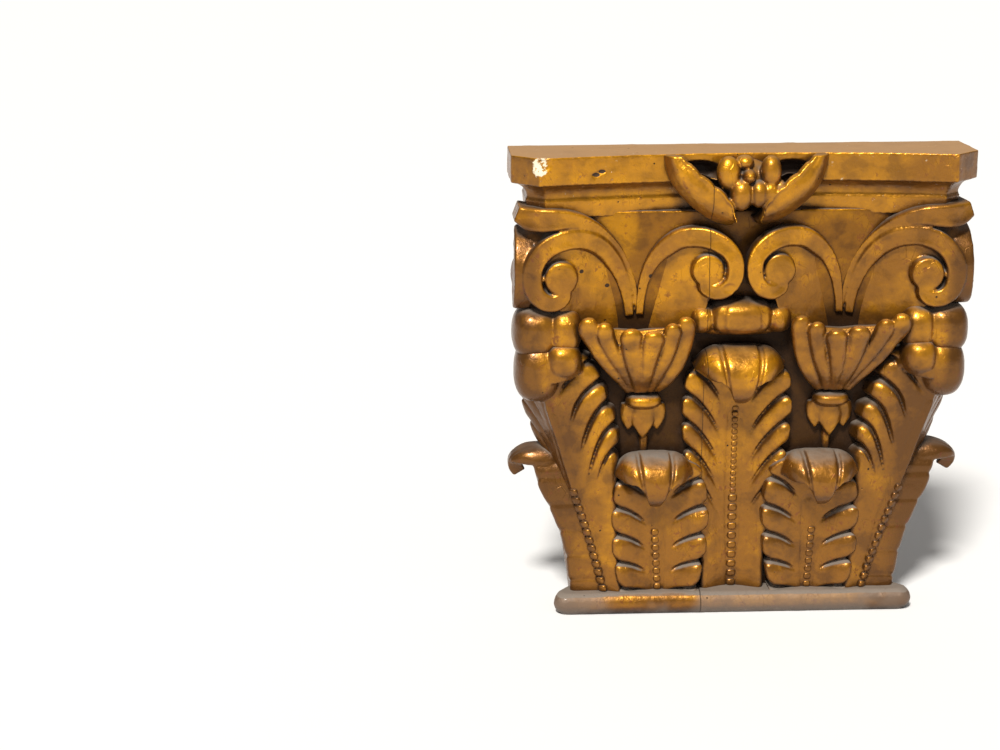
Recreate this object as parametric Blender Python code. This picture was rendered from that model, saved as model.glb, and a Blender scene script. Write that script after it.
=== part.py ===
"""Carved and gilded pilaster capital of the Corinthian order, cut from one glued block.

The moulded parts (abacus, bell and base) are built straight from the sizes below. The carving
is drawn at full size on a drawing of its own, in millimetres: across from the middle, up from
the underside, and forward from the wall. carve() lays that drawing on the block, so the leaves,
scrolls and flower keep their shares of the block whatever size it has.
"""
import math

import bmesh
import bpy
import numpy as np

# The block, in metres.
HEIGHT = 0.390
ABACUS_WIDTH = 0.330
ABACUS_DEPTH = 0.076
HORN_CUT = 0.022
ABACUS_HOLLOW = 0.021
FASCIA_HEIGHT = 0.0224
COVE_HEIGHT = 0.013
BAND_HEIGHT = 0.0156
COVE_INSET = 0.0125
BASE_WIDTH = 0.302
BASE_DEPTH = 0.054
BASE_HEIGHT = 0.0182
BASE_ROUND = 0.0057
BASE_CORNER = 0.009
BASE_TAPER = 0.016
BELL_FOOT_WIDTH = 0.258
BELL_FOOT_DEPTH = 0.031
BELL_LIP_WIDTH = 0.316
BELL_LIP_DEPTH = 0.050
JOINT_LAP = 0.004

ABACUS_HEIGHT = FASCIA_HEIGHT + COVE_HEIGHT + BAND_HEIGHT
BELL_TOP = HEIGHT - ABACUS_HEIGHT
# The origin is the middle of the underside, so the wall stands half the base's depth behind it.
WALL = BASE_DEPTH / 2

# The drawing that the carving is laid out on, in millimetres.
DRAWN_FOOT = 17.5
DRAWN_LIP = 326.0
DRAWN_TOP = 375.0
DRAWN_TOP_WIDTH = 330.0
DRAWN_FOOT_WIDTH = 292.0
DRAWN_TOP_DEPTH = 76.0
DRAWN_FOOT_DEPTH = 54.0
BELL_SIDE = ((10, 125), (60, 126), (120, 130), (190, 139), (260, 150), (331, 158))
BELL_FACE = ((10, 31), (60, 31), (120, 32), (190, 36), (260, 43), (331, 50))

# How finely each run is cut.
PATH_STEPS = 18
FACET_SHARE = 0.545
LOBE_STEPS = (0.0, 0.2, 0.55, 0.85)
ACROSS = (0.0, 0.16, 0.48, 0.8, 1.0)


def smooth(t):
    t = np.clip(t, 0.0, 1.0)
    return t * t * (3.0 - 2.0 * t)


def table(rows, value):
    rows = np.asarray(rows, float)
    return np.interp(value, rows[:, 0], rows[:, 1])


def carve(points):
    """Lay points of the drawing (across, up, forward) on the block, in metres."""
    points = np.asarray(points, float)
    across, up, forward = points[..., 0], points[..., 1], points[..., 2]
    share = np.clip((up - DRAWN_FOOT) / (DRAWN_LIP - DRAWN_FOOT), 0.0, 1.0)
    wide = BASE_WIDTH / DRAWN_FOOT_WIDTH * (1.0 - share) + ABACUS_WIDTH / DRAWN_TOP_WIDTH * share
    deep = BASE_DEPTH / DRAWN_FOOT_DEPTH * (1.0 - share) + ABACUS_DEPTH / DRAWN_TOP_DEPTH * share
    low = np.minimum(up, DRAWN_FOOT) / DRAWN_FOOT * BASE_HEIGHT
    mid = share * (BELL_TOP - BASE_HEIGHT)
    high = np.maximum(up - DRAWN_LIP, 0.0) / (DRAWN_TOP - DRAWN_LIP) * ABACUS_HEIGHT
    return np.stack([across * wide, -forward * deep, low + mid + high], -1)


def run(rows, count):
    """A smooth run of points through the rows of a table, evenly spaced along it."""
    rows = np.asarray(rows, float)
    ends = np.vstack([2 * rows[0] - rows[1], rows, 2 * rows[-1] - rows[-2]])
    fine = []
    for i in range(len(rows) - 1):
        a, b, c, d = ends[i:i + 4]
        t = np.linspace(0.0, 1.0, 24, endpoint=False)[:, None]
        fine.append(0.5 * (2 * b + (c - a) * t + (2 * a - 5 * b + 4 * c - d) * t ** 2
                           + (3 * b - a - 3 * c + d) * t ** 3))
    fine.append(rows[-1:])
    fine = np.vstack(fine)
    step = np.hypot(*np.diff(fine[:, :2], axis=0).T)
    length = np.concatenate([[0.0], np.cumsum(step)])
    at = np.linspace(0.0, length[-1], count)
    return np.stack([np.interp(at, length, column) for column in fine.T], -1)


class Shell:
    """A closed mesh put together from grids and rings of drawing points."""

    def __init__(self, name):
        self.name = name
        self.points = []
        self.faces = []

    def add(self, grid):
        start = sum(len(p) for p in self.points)
        grid = np.asarray(grid, float)
        self.points.append(grid.reshape(-1, 3))
        return start + np.arange(grid[..., 0].size).reshape(grid.shape[:-1])

    def quads(self, index):
        for i in range(index.shape[0] - 1):
            for j in range(index.shape[1] - 1):
                self.faces.append((index[i, j], index[i + 1, j], index[i + 1, j + 1],
                                   index[i, j + 1]))

    def fan(self, ring, centre):
        hub = self.add(np.asarray(centre, float)[None, :])[0]
        for i in range(len(ring)):
            self.faces.append((ring[i], ring[(i + 1) % len(ring)], hub))

    def slab(self, front, back, sides):
        """Front and back grids joined round the named sides."""
        f = self.add(front)
        b = self.add(back)
        self.quads(f)
        self.quads(b[:, ::-1])
        rims = {"start": (f[0], b[0]), "end": (f[-1], b[-1]),
                "left": (f[:, 0], b[:, 0]), "right": (f[:, -1], b[:, -1])}
        for side in sides:
            self.quads(np.stack(rims[side]))

    def loft(self, rings):
        """Closed rings joined one to the next, with a fan at each end."""
        index = self.add(rings)
        self.quads(np.concatenate([index, index[:, :1]], 1))
        rings = np.asarray(rings, float)
        self.fan(index[0], rings[0].mean(0))
        self.fan(index[-1], rings[-1].mean(0))

    def build(self, laid=True):
        points = np.vstack(self.points)
        points = carve(points) if laid else points
        points = points + np.array([0.0, WALL, 0.0])
        bm = bmesh.new()
        verts = [bm.verts.new(p) for p in points]
        for face in self.faces:
            bm.faces.new([verts[i] for i in face])
        bmesh.ops.remove_doubles(bm, verts=bm.verts, dist=2e-5)
        loose = [v for v in bm.verts if not v.link_faces]
        bmesh.ops.delete(bm, geom=loose, context="VERTS")
        bmesh.ops.triangulate(bm, faces=bm.faces)
        bmesh.ops.recalc_face_normals(bm, faces=bm.faces)
        mesh = bpy.data.meshes.new(self.name)
        bm.to_mesh(mesh)
        bm.free()
        return bpy.data.objects.new(self.name, mesh)


# Depth of the carved faces, forward from the wall, by distance from the middle.

def helix_face(across):
    return 70.0 - 25.0 * np.clip((np.abs(across) - 6.0) / 78.0, 0.0, 1.0) ** 1.15


def volute_face(across):
    return 45.0 + 24.0 * smooth((np.abs(across) - 84.0) / 66.0)


def tongue_face(across):
    low = np.minimum(volute_face(across) + 0.5, 70.0)
    return np.where(across < 150.0, low, 70.0 - 10.0 * smooth((across - 160.0) / 30.0))


def flat(side):
    """Drawing point of a scroll that faces the front."""
    def place(across, up, forward):
        return np.stack([side * across, up, forward], -1)
    return place


def turned(side):
    """The same scroll turned round the corner on to the side, narrower, ending at the wall."""
    def place(across, up, forward):
        back = forward - volute_face(across)
        out = 184.0 - 0.3 * (69.0 - volute_face(across)) + back
        return np.stack([side * out, up, 4.0 + (across - 90.0) * 0.72], -1)
    return place


# Centre line of each scroll's band on the drawing: across, up, width.
CORNER_BAND = ((89, 246, 7), (91.5, 262, 9), (96.5, 278, 11.5), (104.5, 292, 13.5),
               (115, 303, 14.8), (128, 309.5, 15.4), (142, 310.5, 15.6), (155, 306, 15.6),
               (164, 298, 15.6), (169, 288, 15.6), (169.5, 277.5, 15.4), (166, 268, 14.6),
               (158.5, 262, 13.6), (150, 261.5, 12.6), (144, 266, 11), (145, 273, 9))
CORNER_EYE = (146.5, 280.5, 13.2)
HELIX_BAND = ((81, 247, 6.5), (80, 262, 7.5), (77, 277, 9.5), (71, 290.5, 12),
              (61.5, 301, 14.6), (50, 308.5, 15.6), (37.5, 310.5, 15.8), (25.5, 308.5, 15.4),
              (15.4, 303, 14.2), (9, 295, 13.4), (7.4, 285.5, 13.2), (9.4, 276.5, 12.8),
              (15.5, 270, 12.4), (23.5, 267.8, 12), (30.5, 271, 11), (30.5, 277, 9))
HELIX_EYE = (28.4, 284.2, 13.0)
TONGUE_BAND = ((82.5, 250, 3), (84.5, 264, 4), (89, 281, 4.5), (97, 297, 5), (108, 310, 6),
               (119, 318.5, 8), (130, 323.5, 11), (141, 326, 14), (152, 326.4, 16.5),
               (163, 326.2, 18), (173, 327, 17.5), (182.5, 330.5, 12))

# Corner post behind the scrolls: middle across, up and forward, then half sizes.
CORNER_POST = (160.0, 287.0, 36.0, 22.0, 36.0, 24.0)


def band(name, rows, face, place, relief, under, steps, lip=1.4):
    """A flat band along a centre line, standing off the ground by its relief."""
    path = run(rows, steps)
    across, up, width = path.T
    slope = np.gradient(path[:, :2], axis=0)
    slope /= np.hypot(*slope.T)[:, None]
    out = np.stack([-slope[:, 1], slope[:, 0]], -1)
    front = face(across)
    rings = []
    for offset, drop in ((-1.0, under), (-1.0, lip), (-1.0 + 0.25, 0.0),
                         (1.0 - 0.25, 0.0), (1.0, lip), (1.0, under)):
        a = across + out[:, 0] * offset * width / 2
        z = up + out[:, 1] * offset * width / 2
        rings.append(place(a, z, front + relief - drop))
    shell = Shell(name)
    shell.loft(np.stack(rings, 1))
    return shell


def ground(name, rows, eye, face, place, sunk, deep, steps):
    """The sunken ground inside a scroll: a plate bounded by the band's centre line."""
    path = run(rows[:-2], steps)[:, :2]
    foot = np.array([[path[0, 0] * 0.55 + path[-1, 0] * 0.45, min(path[0, 1], path[-1, 1]) - 2.0]])
    loop = np.vstack([path, foot])
    front = place(loop[:, 0], loop[:, 1], face(loop[:, 0]) - sunk)
    back = place(loop[:, 0], loop[:, 1], face(loop[:, 0]) - deep)
    centre = np.array([eye[0] * 0.8 + path[0, 0] * 0.2, eye[1]])
    hub = place(centre[:1], centre[1:], face(centre[:1]) - sunk)[0]
    tail = place(centre[:1], centre[1:], face(centre[:1]) - deep)[0]
    shell = Shell(name)
    f = shell.add(front)
    b = shell.add(back)
    shell.quads(np.stack([np.append(f, f[0]), np.append(b, b[0])]))
    shell.fan(f, hub)
    shell.fan(b, tail)
    return shell


def disc(name, eye, face, place, relief, under, sides):
    """The round eye that a scroll ends in."""
    turn = np.arange(sides) * 2.0 * math.pi / sides
    rings = []
    for share, drop in ((1.0, under), (1.0, 1.6), (0.84, 0.0), (0.4, -0.8)):
        a = eye[0] + eye[2] * share * np.cos(turn)
        z = eye[1] + eye[2] * share * np.sin(turn)
        rings.append(place(a, z, face(np.full_like(a, eye[0])) + relief - drop))
    shell = Shell(name)
    shell.loft(np.stack(rings))
    return shell


def leaf(name, spec, place, lobe_steps=LOBE_STEPS, across=ACROSS):
    """Body of an acanthus leaf: a smooth foot, then fingers that fan up from the midrib."""
    lobes = spec["lobes"]
    rows = [-1.0, -0.66, -0.33, -0.08]
    rows += [i + t for i in range(lobes) for t in lobe_steps]
    rows += [lobes + t for t in (0.0, 0.4, 0.75, 1.0)]
    rows = np.array(rows)
    foot, head, edge_top = spec["foot"], spec["head"], spec["edge_top"]
    start, rib_start = spec["edge_start"], spec["rib_start"]
    low = np.clip(rows + 1.0, 0.0, 1.0)
    share = np.clip(rows / lobes, 0.0, 1.0)
    rib = foot + (rib_start - foot) * low + (spec["rib_top"] - rib_start) * share ** 1.25
    edge = foot + (start - foot) * low + (edge_top - start) * share ** spec["pace"]
    wide = table(spec["width"], edge)
    last = np.clip(rows - lobes, 0.0, 1.0)
    turn = last * math.pi / 2
    edge = edge + (head - edge_top) * np.sin(turn)
    wide = wide * np.cos(turn)
    below = rows < 0.0
    t = np.where(below, 0.5, rows - np.floor(rows))
    t[-1] = 1.0
    top = np.where(last > 0.3, 0.0, 1.0)
    rising = np.clip(1.0 - t / 0.55, 0.0, 1.0) ** 2.0
    falling = np.clip((t - 0.6) / 0.4, 0.0, 1.0) ** 2.2
    bite = np.where(below, 0.0, rising + falling) * top
    swell = np.where(below, 0.35, np.sin(math.pi * t) ** 0.5) * top + 0.6 * (1.0 - top)
    v = np.array(across)
    v = np.concatenate([-v[:0:-1], v])
    m = np.abs(v)
    calm = 1.0 - (1.0 - spec["outer"]) * (v < 0.0) * (1.0 - last[:, None])
    reach = wide[:, None] * (1.0 - spec["notch"] * calm * bite[:, None] * m ** 2.6)
    a = reach * v
    climb = 0.25 * m + 0.75 * (1.0 - (1.0 - m) ** 2.1)
    z = rib[:, None] + (edge - rib)[:, None] * climb
    grow = smooth((m - 0.25) / 0.6)
    relief = spec["swell"] * swell[:, None] * grow
    relief = relief - spec["groove"] * np.minimum(rising + falling, 1.0)[:, None] * (
        ~below & (last < 0.3))[:, None] * smooth((m - 0.12) / 0.4)
    relief = relief - 2.4 * np.clip((m - 0.88) / 0.12, 0.0, 1.0) ** 2
    d = spec["valley"] + spec["rise"] * m ** 1.3 + relief * calm
    d = np.where(m < 0.05, spec["valley"] + spec["rib"], d)
    front = place(a, z, d)
    back = place(a, z, np.full_like(d, -spec["root"]))
    shell = Shell(name)
    shell.slab(front, back, ("start", "left", "right"))
    return shell


def curl(name, spec, place, across=4, along=5):
    """The head of a leaf rolled forward over itself, with two creases and a rounded tip."""
    v = 0.95 * np.sin(np.linspace(-1.0, 1.0, 2 * across + 1) * math.pi / 2)
    u = np.linspace(0.0, 1.0, along + 1)
    m = np.abs(v)[None, :]
    round_ = np.clip(1.0 - m ** 4.0, 0.0, 1.0) ** 0.5
    start = math.radians(-75.0)
    fall = smooth((m - 0.12) / 0.5)
    stop = math.radians(spec["roll"]) - math.radians(spec["roll"] - spec["side_roll"]) * fall
    angle = start + (stop - start) * u[:, None]
    crease = spec["crease"] * np.exp(-((m - spec["crease_at"]) / 0.1) ** 2)
    size = 1.0 - crease
    taper = 1.0 - spec["taper"] * np.clip((angle - 0.5) / 1.6, 0.0, 1.0) ** 1.5
    a = spec["half"] * v[None, :] * taper * np.ones_like(angle)
    reach = spec["reach"] * round_ * size
    tall = spec["tall"] * round_ * size
    d = spec["centre_d"] + reach * np.sin(angle)
    low = np.clip(-np.cos(angle), 0.0, 1.0)
    z = spec["centre_z"] + tall * np.cos(angle) - spec["drip"] * low * (1.0 - m ** 1.2)
    front = place(a, z, d)
    d_in = spec["centre_d"] + reach * 0.45 * np.sin(angle)
    z_in = spec["centre_z"] + tall * 0.45 * np.cos(angle) - spec["drip"] * 0.7 * low * (1.0 - m)
    back = place(a * 0.96, z_in, d_in)
    shell = Shell(name)
    shell.slab(front, back, ("start", "end", "left", "right"))
    return shell


def upright(centre, side=1.0):
    """Drawing place for a leaf on the front of the bell, standing at a distance across."""
    def place(a, z, d):
        return np.stack([side * centre + a, z, table(BELL_FACE, z) + d], -1)
    return place


def sidelong(side, centre, lean):
    """Drawing place for a leaf on the side of the bell; d is measured from the bell."""
    def place(a, z, d):
        return np.stack([side * (table(BELL_SIDE, z) + table(lean, z) + d), z, centre + a], -1)
    return place


# Midrib of the corner leaves on the drawing: up, across and forward.
CORNER_RIB = ((10, 101), (24, 105), (50, 112), (76, 120), (106, 130.5), (143, 142), (165, 149.5),
              (182, 156), (224, 158))
CORNER_RIB_FORWARD = ((10, 40), (24, 41), (50, 43), (76, 46), (106, 49), (143, 53), (165, 55.5),
                      (182, 57), (224, 54))


def cornerwise(side):
    """Drawing place for a leaf folded round a corner: its inner half lies on the front."""
    front_way = np.array([-0.975, -0.22])
    side_way = np.array([0.4, -0.917])
    front_out = np.array([0.22, 0.975])
    side_out = np.array([0.93, 0.37])

    def place(a, z, d):
        rib = np.stack([table(CORNER_RIB, z), table(CORNER_RIB_FORWARD, z)], -1)
        blend = smooth((a / 12.0 + 1.0) / 2.0)[..., None]
        inner = np.maximum(a, 0.0)[..., None] * front_way
        outer = np.maximum(-a, 0.0)[..., None] * side_way * 0.7
        out = front_out * blend + side_out * (1.0 - blend)
        out = out / np.linalg.norm(out, axis=-1, keepdims=True)
        spot = rib + inner + outer + out * d[..., None]
        return np.stack([side * spot[..., 0], z, spot[..., 1]], -1)
    return place


def diagonal(side, centre, angle):
    """Drawing place for a rolled head that leans out over a corner."""
    turn = math.radians(angle)
    out = np.array([math.sin(turn), math.cos(turn)])
    along = np.array([-math.cos(turn), math.sin(turn)])

    def place(a, z, d):
        a = np.broadcast_to(a, z.shape)
        spot = np.array(centre) + a[..., None] * along + d[..., None] * out
        return np.stack([side * spot[..., 0], z, spot[..., 1]], -1)
    return place


CENTRE_LEAF = dict(lobes=4, foot=9.0, head=219.0, rib_start=52.0, rib_top=150.0,
                   edge_start=112.0, edge_top=203.0, pace=0.96,
                   width=((9, 25), (50, 26), (80, 32), (110, 40), (160, 45), (190, 44), (204, 40)),
                   notch=0.22, outer=1.0, valley=2.0, rise=8.5, swell=4.0, groove=3.6, rib=3.0,
                   root=8.0)
CENTRE_CURL = dict(half=38.0, reach=27.0, tall=24.0, centre_d=48.0, centre_z=197.5, roll=148.0,
                   side_roll=88.0, crease=0.06, crease_at=0.56, taper=0.30, drip=1.5)
SMALL_LEAF = dict(lobes=4, foot=9.0, head=132.0, rib_start=12.0, rib_top=84.0,
                  edge_start=18.0, edge_top=113.0, pace=1.0,
                  width=((9, 29), (50, 36), (90, 38), (112, 34)),
                  notch=0.22, outer=1.0, valley=10.0, rise=8.0, swell=4.0, groove=3.6, rib=2.6,
                  root=6.0)
SMALL_CURL = dict(half=31.0, reach=26.0, tall=22.5, centre_d=47.0, centre_z=111.0, roll=146.0,
                  side_roll=84.0, crease=0.06, crease_at=0.5, taper=0.34, drip=2.5)
CORNER_LEAF = dict(lobes=4, foot=9.0, head=222.0, rib_start=62.0, rib_top=168.0,
                   edge_start=138.0, edge_top=212.0, pace=0.95,
                   width=((9, 13), (50, 19), (100, 33), (143, 49), (170, 54), (195, 50),
                          (213, 40)),
                   notch=0.21, outer=0.3, valley=3.0, rise=4.0, swell=4.0, groove=3.6, rib=3.0,
                   root=24.0)
CORNER_CURL = dict(half=25.0, reach=22.0, tall=20.0, centre_d=0.0, centre_z=201.0, roll=140.0,
                   side_roll=100.0, crease=0.04, crease_at=0.4, taper=0.2, drip=0.0)
# Rounded lumps, each given by its middle (across, up, forward) and its half sizes.
CORNER_HEAD = ((164.0, 207.0, 46.0, 19.0, 23.0, 24.0), (143.0, 214.5, 57.0, 14.0, 14.5, 17.0))
SEPAL = ((165.0, 235.5, 44.0, 19.0, 19.5, 25.0), (143.0, 236.0, 52.0, 13.5, 17.5, 18.0))
MIDDLE_BAND = ((0.0, 246.0, 46.0, 19.0, 13.8, 21.0), (-29.0, 244.0, 42.0, 14.0, 12.4, 19.0),
               (29.0, 244.0, 42.0, 14.0, 12.4, 19.0), (0.0, 238.0, 38.0, 36.0, 9.0, 16.0))
PETALS = ((-16.0, 361.5, 70.0, 8.6, 12.5, 8.0), (17.5, 363.0, 71.0, 7.6, 11.5, 8.5),
          (-2.5, 369.5, 66.0, 6.5, 5.4, 9.0), (-5.5, 345.0, 72.0, 8.4, 11.5, 9.0),
          (8.0, 345.5, 73.0, 6.6, 9.8, 8.0), (17.0, 346.5, 71.0, 6.0, 9.0, 8.0),
          (25.5, 348.5, 68.0, 4.6, 7.0, 7.0), (0.0, 359.5, 72.0, 5.2, 5.2, 9.5),
          (0.0, 356.0, 54.0, 22.0, 15.0, 18.0))
# The cup: where it starts, its rim, and its outer and inner edges (up, across).
CUP_FOOT = 185.0
CUP_RIM = 240.0
CUP_RIM_RISE = 4.0
CUP_OUTER_EDGE = ((186, 90), (201, 101), (211, 109), (221, 118), (231, 124), (242, 128),
                  (258, 126))
CUP_INNER_EDGE = ((186, 64), (192, 57), (203, 51), (216, 46), (226, 42), (238, 40), (258, 40))
# Fingers of the cup: across, up, forward, half width, half thickness.
CUP_FINGERS = (
    ((88, 186, 46, 4.5, 3.5), (98, 201, 54, 7.1, 4.5), (108, 215, 60, 9.1, 5),
     (117, 229, 65, 9.9, 5.4), (124, 241, 69, 9.9, 5.6), (125.5, 252, 71, 9.1, 6)),
    ((85, 187, 47, 4.5, 3.5), (92, 202, 56, 6.5, 4.6), (100, 216, 63, 7.8, 5),
     (107.5, 229, 68, 8.6, 5.2), (111.5, 240, 71, 8.6, 5.4), (112, 248, 72, 8.1, 5.6)),
    ((81, 187, 48, 5.2, 4), (84.5, 203, 60, 7.8, 5), (88, 218, 67, 9.6, 5.4),
     (90.5, 232, 71, 10.4, 5.6), (91, 243, 73, 9.9, 6)),
    ((77, 187, 48, 5.2, 4), (76, 204, 62, 7, 5), (75, 220, 69, 8.8, 5.4),
     (73, 233, 72, 9.9, 5.6), (72.5, 240.5, 74, 9.1, 6)),
    ((72, 187, 47, 5.2, 4), (66.5, 203, 59, 6.5, 4.8), (61.5, 218, 65, 7.8, 5.2),
     (58.5, 233, 68, 8.6, 5.4), (57, 246, 70, 8.1, 5.8)),
    ((67, 187, 45, 4.5, 3.5), (58.5, 198, 53, 5.7, 4.4), (51.5, 211, 58, 6.5, 4.8),
     (47, 225, 61, 7, 5), (44.5, 239, 62, 7.3, 5.2), (44, 253, 63, 6.8, 5.4)))
SIDE_LEAF = dict(lobes=4, foot=9.0, head=133.0, rib_start=14.0, rib_top=82.0,
                 edge_start=26.0, edge_top=114.0, pace=1.0,
                 width=((9, 17), (50, 20), (90, 22), (114, 20)),
                 notch=0.16, outer=1.0, valley=3.0, rise=0.5, swell=1.2, groove=1.4, rib=1.6,
                 root=36.0)
SIDE_LEAN = ((9, 0), (35, 3), (60, 7), (85, 15), (105, 24), (125, 28), (140, 28))
SIDE_CURL = dict(half=18.0, reach=24.0, tall=15.0, centre_d=160.0, centre_z=122.0, roll=130.0,
                 side_roll=70.0, crease=0.0, crease_at=0.5, taper=0.4, drip=3.0)


def calyx(name, side, columns=11, rows=5):
    """The body of the cup, behind its fingers."""
    v = np.linspace(-1.0, 1.0, columns)
    top = CUP_RIM + CUP_RIM_RISE * np.abs(v)
    u = np.linspace(0.0, 1.0, rows)[:, None]
    z = CUP_FOOT + (top - CUP_FOOT)[None, :] * u
    low, high = table(CUP_OUTER_EDGE, z), table(CUP_INNER_EDGE, z)
    a = (low + high) / 2 - (low - high) / 2 * v[None, :]
    turn = np.sqrt(np.clip(1.0 - np.abs(v) ** 2.4, 0.0, 1.0))[None, :]
    depth = 7.0 + (12.0 + 7.0 * u) * turn
    branch = smooth((-v[None, :] - 0.35) / 0.65) * smooth((u - 0.3) / 0.7) * 12.0
    front = np.stack([side * a, z, table(BELL_FACE, z) + depth + branch - 1.5], -1)
    back = np.stack([side * a, z, np.full_like(z, 24.0)], -1)
    shell = Shell(name)
    shell.slab(front, back, ("start", "end", "left", "right"))
    return shell


def finger(name, rows, side, steps=6, around=7):
    """A tapering finger with a blunt tip, along a path that leaves the ground."""
    path = run(rows, steps)
    centre, wide, thick = path[:, :3], path[:, 3], path[:, 4]
    slope = np.gradient(centre, axis=0)
    slope /= np.linalg.norm(slope, axis=1)[:, None]
    across = np.cross(slope, (0.0, 0.0, 1.0))
    across /= np.linalg.norm(across, axis=1)[:, None]
    out = np.cross(across, slope)
    end = np.ones(steps)
    end[-1] = 0.55
    turn = np.arange(around) * 2.0 * math.pi / around
    rings = (centre[:, None, :]
             + (wide * end)[:, None, None] * np.cos(turn)[None, :, None] * across[:, None, :]
             + (thick * end)[:, None, None] * np.sin(turn)[None, :, None] * out[:, None, :])
    rings[..., 0] *= side
    shell = Shell(name)
    shell.loft(rings)
    return shell


def bead(name, centre, radii, around=10, rows=5, boxy=1.0):
    """A rounded boss, squarer as boxy falls below one."""
    def square(x):
        return np.sign(x) * np.abs(x) ** boxy

    tilt = np.linspace(-math.pi / 2, math.pi / 2, rows + 1)[1:-1, None]
    turn = np.arange(around)[None, :] * 2.0 * math.pi / around
    a = centre[0] + radii[0] * square(np.cos(tilt)) * square(np.cos(turn))
    d = centre[2] + radii[2] * square(np.cos(tilt)) * square(np.sin(turn))
    z = np.broadcast_to(centre[1] + radii[1] * square(np.sin(tilt)), a.shape)
    shell = Shell(name)
    index = shell.add(np.stack([a, z, d], -1))
    shell.quads(np.concatenate([index, index[:, :1]], 1))
    shell.fan(index[0], (centre[0], centre[1] - radii[1], centre[2]))
    shell.fan(index[-1], (centre[0], centre[1] + radii[1], centre[2]))
    return shell


def lumps(name, rows, side=1.0, boxy=0.8, around=10):
    """Rounded lumps from a table of middles and half sizes."""
    return [bead("%s_%d" % (name, i), (side * a, z, d), radii, around, 5, boxy)
            for i, (a, z, d, *radii) in enumerate(rows)]


def drop_leaf(name, side, centre, top, tip, half, forward):
    """A small pointed leaf hanging under the ring."""
    shares = ((0.0, 0.8), (0.3, 1.0), (0.62, 0.86), (0.85, 0.45), (1.0, 0.08))
    rings = []
    for share, wide in shares:
        z = top + (tip - top) * share
        bulge = 3.4 * math.cos(share * 1.3)
        rings.append([(side * (centre - half * wide), z, forward - 1.0),
                      (side * centre, z, forward + bulge),
                      (side * (centre + half * wide), z, forward - 1.0),
                      (side * (centre + half * wide), z, 24.0),
                      (side * (centre - half * wide), z, 24.0)])
    shell = Shell(name)
    shell.loft(np.array(rings))
    return shell


def middle_band(name, columns=13):
    """The small rolled leaf between the two cups, under the inner scrolls."""
    v = np.linspace(-1.0, 1.0, columns)
    turn = np.radians(np.array((-60.0, -10.0, 35.0, 80.0, 125.0, 150.0)))[:, None]
    low = np.array((0.0, 0.0, 0.0, 0.1, 0.28, 0.42))[:, None]
    half = 38.0 * (1.0 - low)
    crease = 0.22 * np.exp(-((np.abs(v) - 0.5) / 0.07) ** 2)[None, :]
    bulge = (1.0 - 0.30 * np.abs(v) ** 3)[None, :] - crease
    a = half * v[None, :]
    z = 246.0 + 13.5 * np.cos(turn) * bulge
    d = 46.0 + 20.0 * np.sin(turn) * bulge
    front = np.stack([a, z, d], -1)
    back = np.stack([a, np.clip(z, 240.0, 250.0) * 0.4 + 245.0 * 0.6, np.full_like(z, 30.0)], -1)
    shell = Shell(name)
    shell.slab(front, back, ("start", "end", "left", "right"))
    return shell


# Flower: the outer and inner edge of each wing leaf of its cup, across and up.
WING_OUTER = ((7, 318), (24, 322.5), (41, 333), (55.5, 347), (63.5, 361), (66, 374.6))
WING_INNER = ((13, 331), (16, 341), (24, 345), (35, 352), (48, 362.5), (62, 374.6))


def wing(name, side, steps=8):
    """One leaf of the flower's cup, a plate that stands forward along its inner edge."""
    outer = run(WING_OUTER, steps)
    inner = run(WING_INNER, steps)
    tooth = 1.6 * (np.arange(steps) % 2)
    t = np.linspace(0.0, 1.0, steps)
    deep = 58.0 + 6.0 * np.sin(t * math.pi)
    lip = 76.0 + 4.0 * np.sin(t * math.pi) - 9.0 * t
    rings = []
    for i in range(steps):
        o, n = outer[i], inner[i]
        n = n + np.array([-0.4, 1.0]) * tooth[i] * (0 < i < steps - 1)
        mid = (o + n) / 2
        rings.append([(side * o[0], o[1], 44.0), (side * o[0], o[1], deep[i] + 1.0),
                      (side * mid[0], mid[1], (deep[i] + lip[i]) / 2 + 3.5),
                      (side * n[0], n[1], lip[i]),
                      (side * (n[0] - 1.5), n[1] + 1.5, lip[i] - 4.0),
                      (side * (mid[0] - 2.0), mid[1] + 2.5, deep[i] - 6.0),
                      (side * (o[0] - 5.0), o[1] + 3.0, 44.0)])
    rings = np.array(rings)
    rings[..., 1] = np.minimum(rings[..., 1], DRAWN_TOP - 0.3)
    shell = Shell(name)
    shell.loft(rings)
    return shell


def abacus_outline(inset):
    """Plan of the abacus, hollowed in front and cut across its horns, set in all round."""
    half = ABACUS_WIDTH / 2 - inset * 0.42
    front = ABACUS_DEPTH - inset
    horn = ABACUS_WIDTH / 2 + HORN_CUT - inset
    cut = ABACUS_DEPTH - HORN_CUT - inset * 0.42
    steps = 10
    outline = []
    for i in range(steps + 1):
        t = -1.0 + 2.0 * i / steps
        hollow = ABACUS_HOLLOW * (1.0 - t * t)
        outline.append((half * t, -(front - hollow)))
    outline.append((horn, -cut))
    outline.append((horn, 0.01))
    outline.append((-horn, 0.01))
    outline.append((-horn, -cut))
    return np.array(outline)


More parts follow.
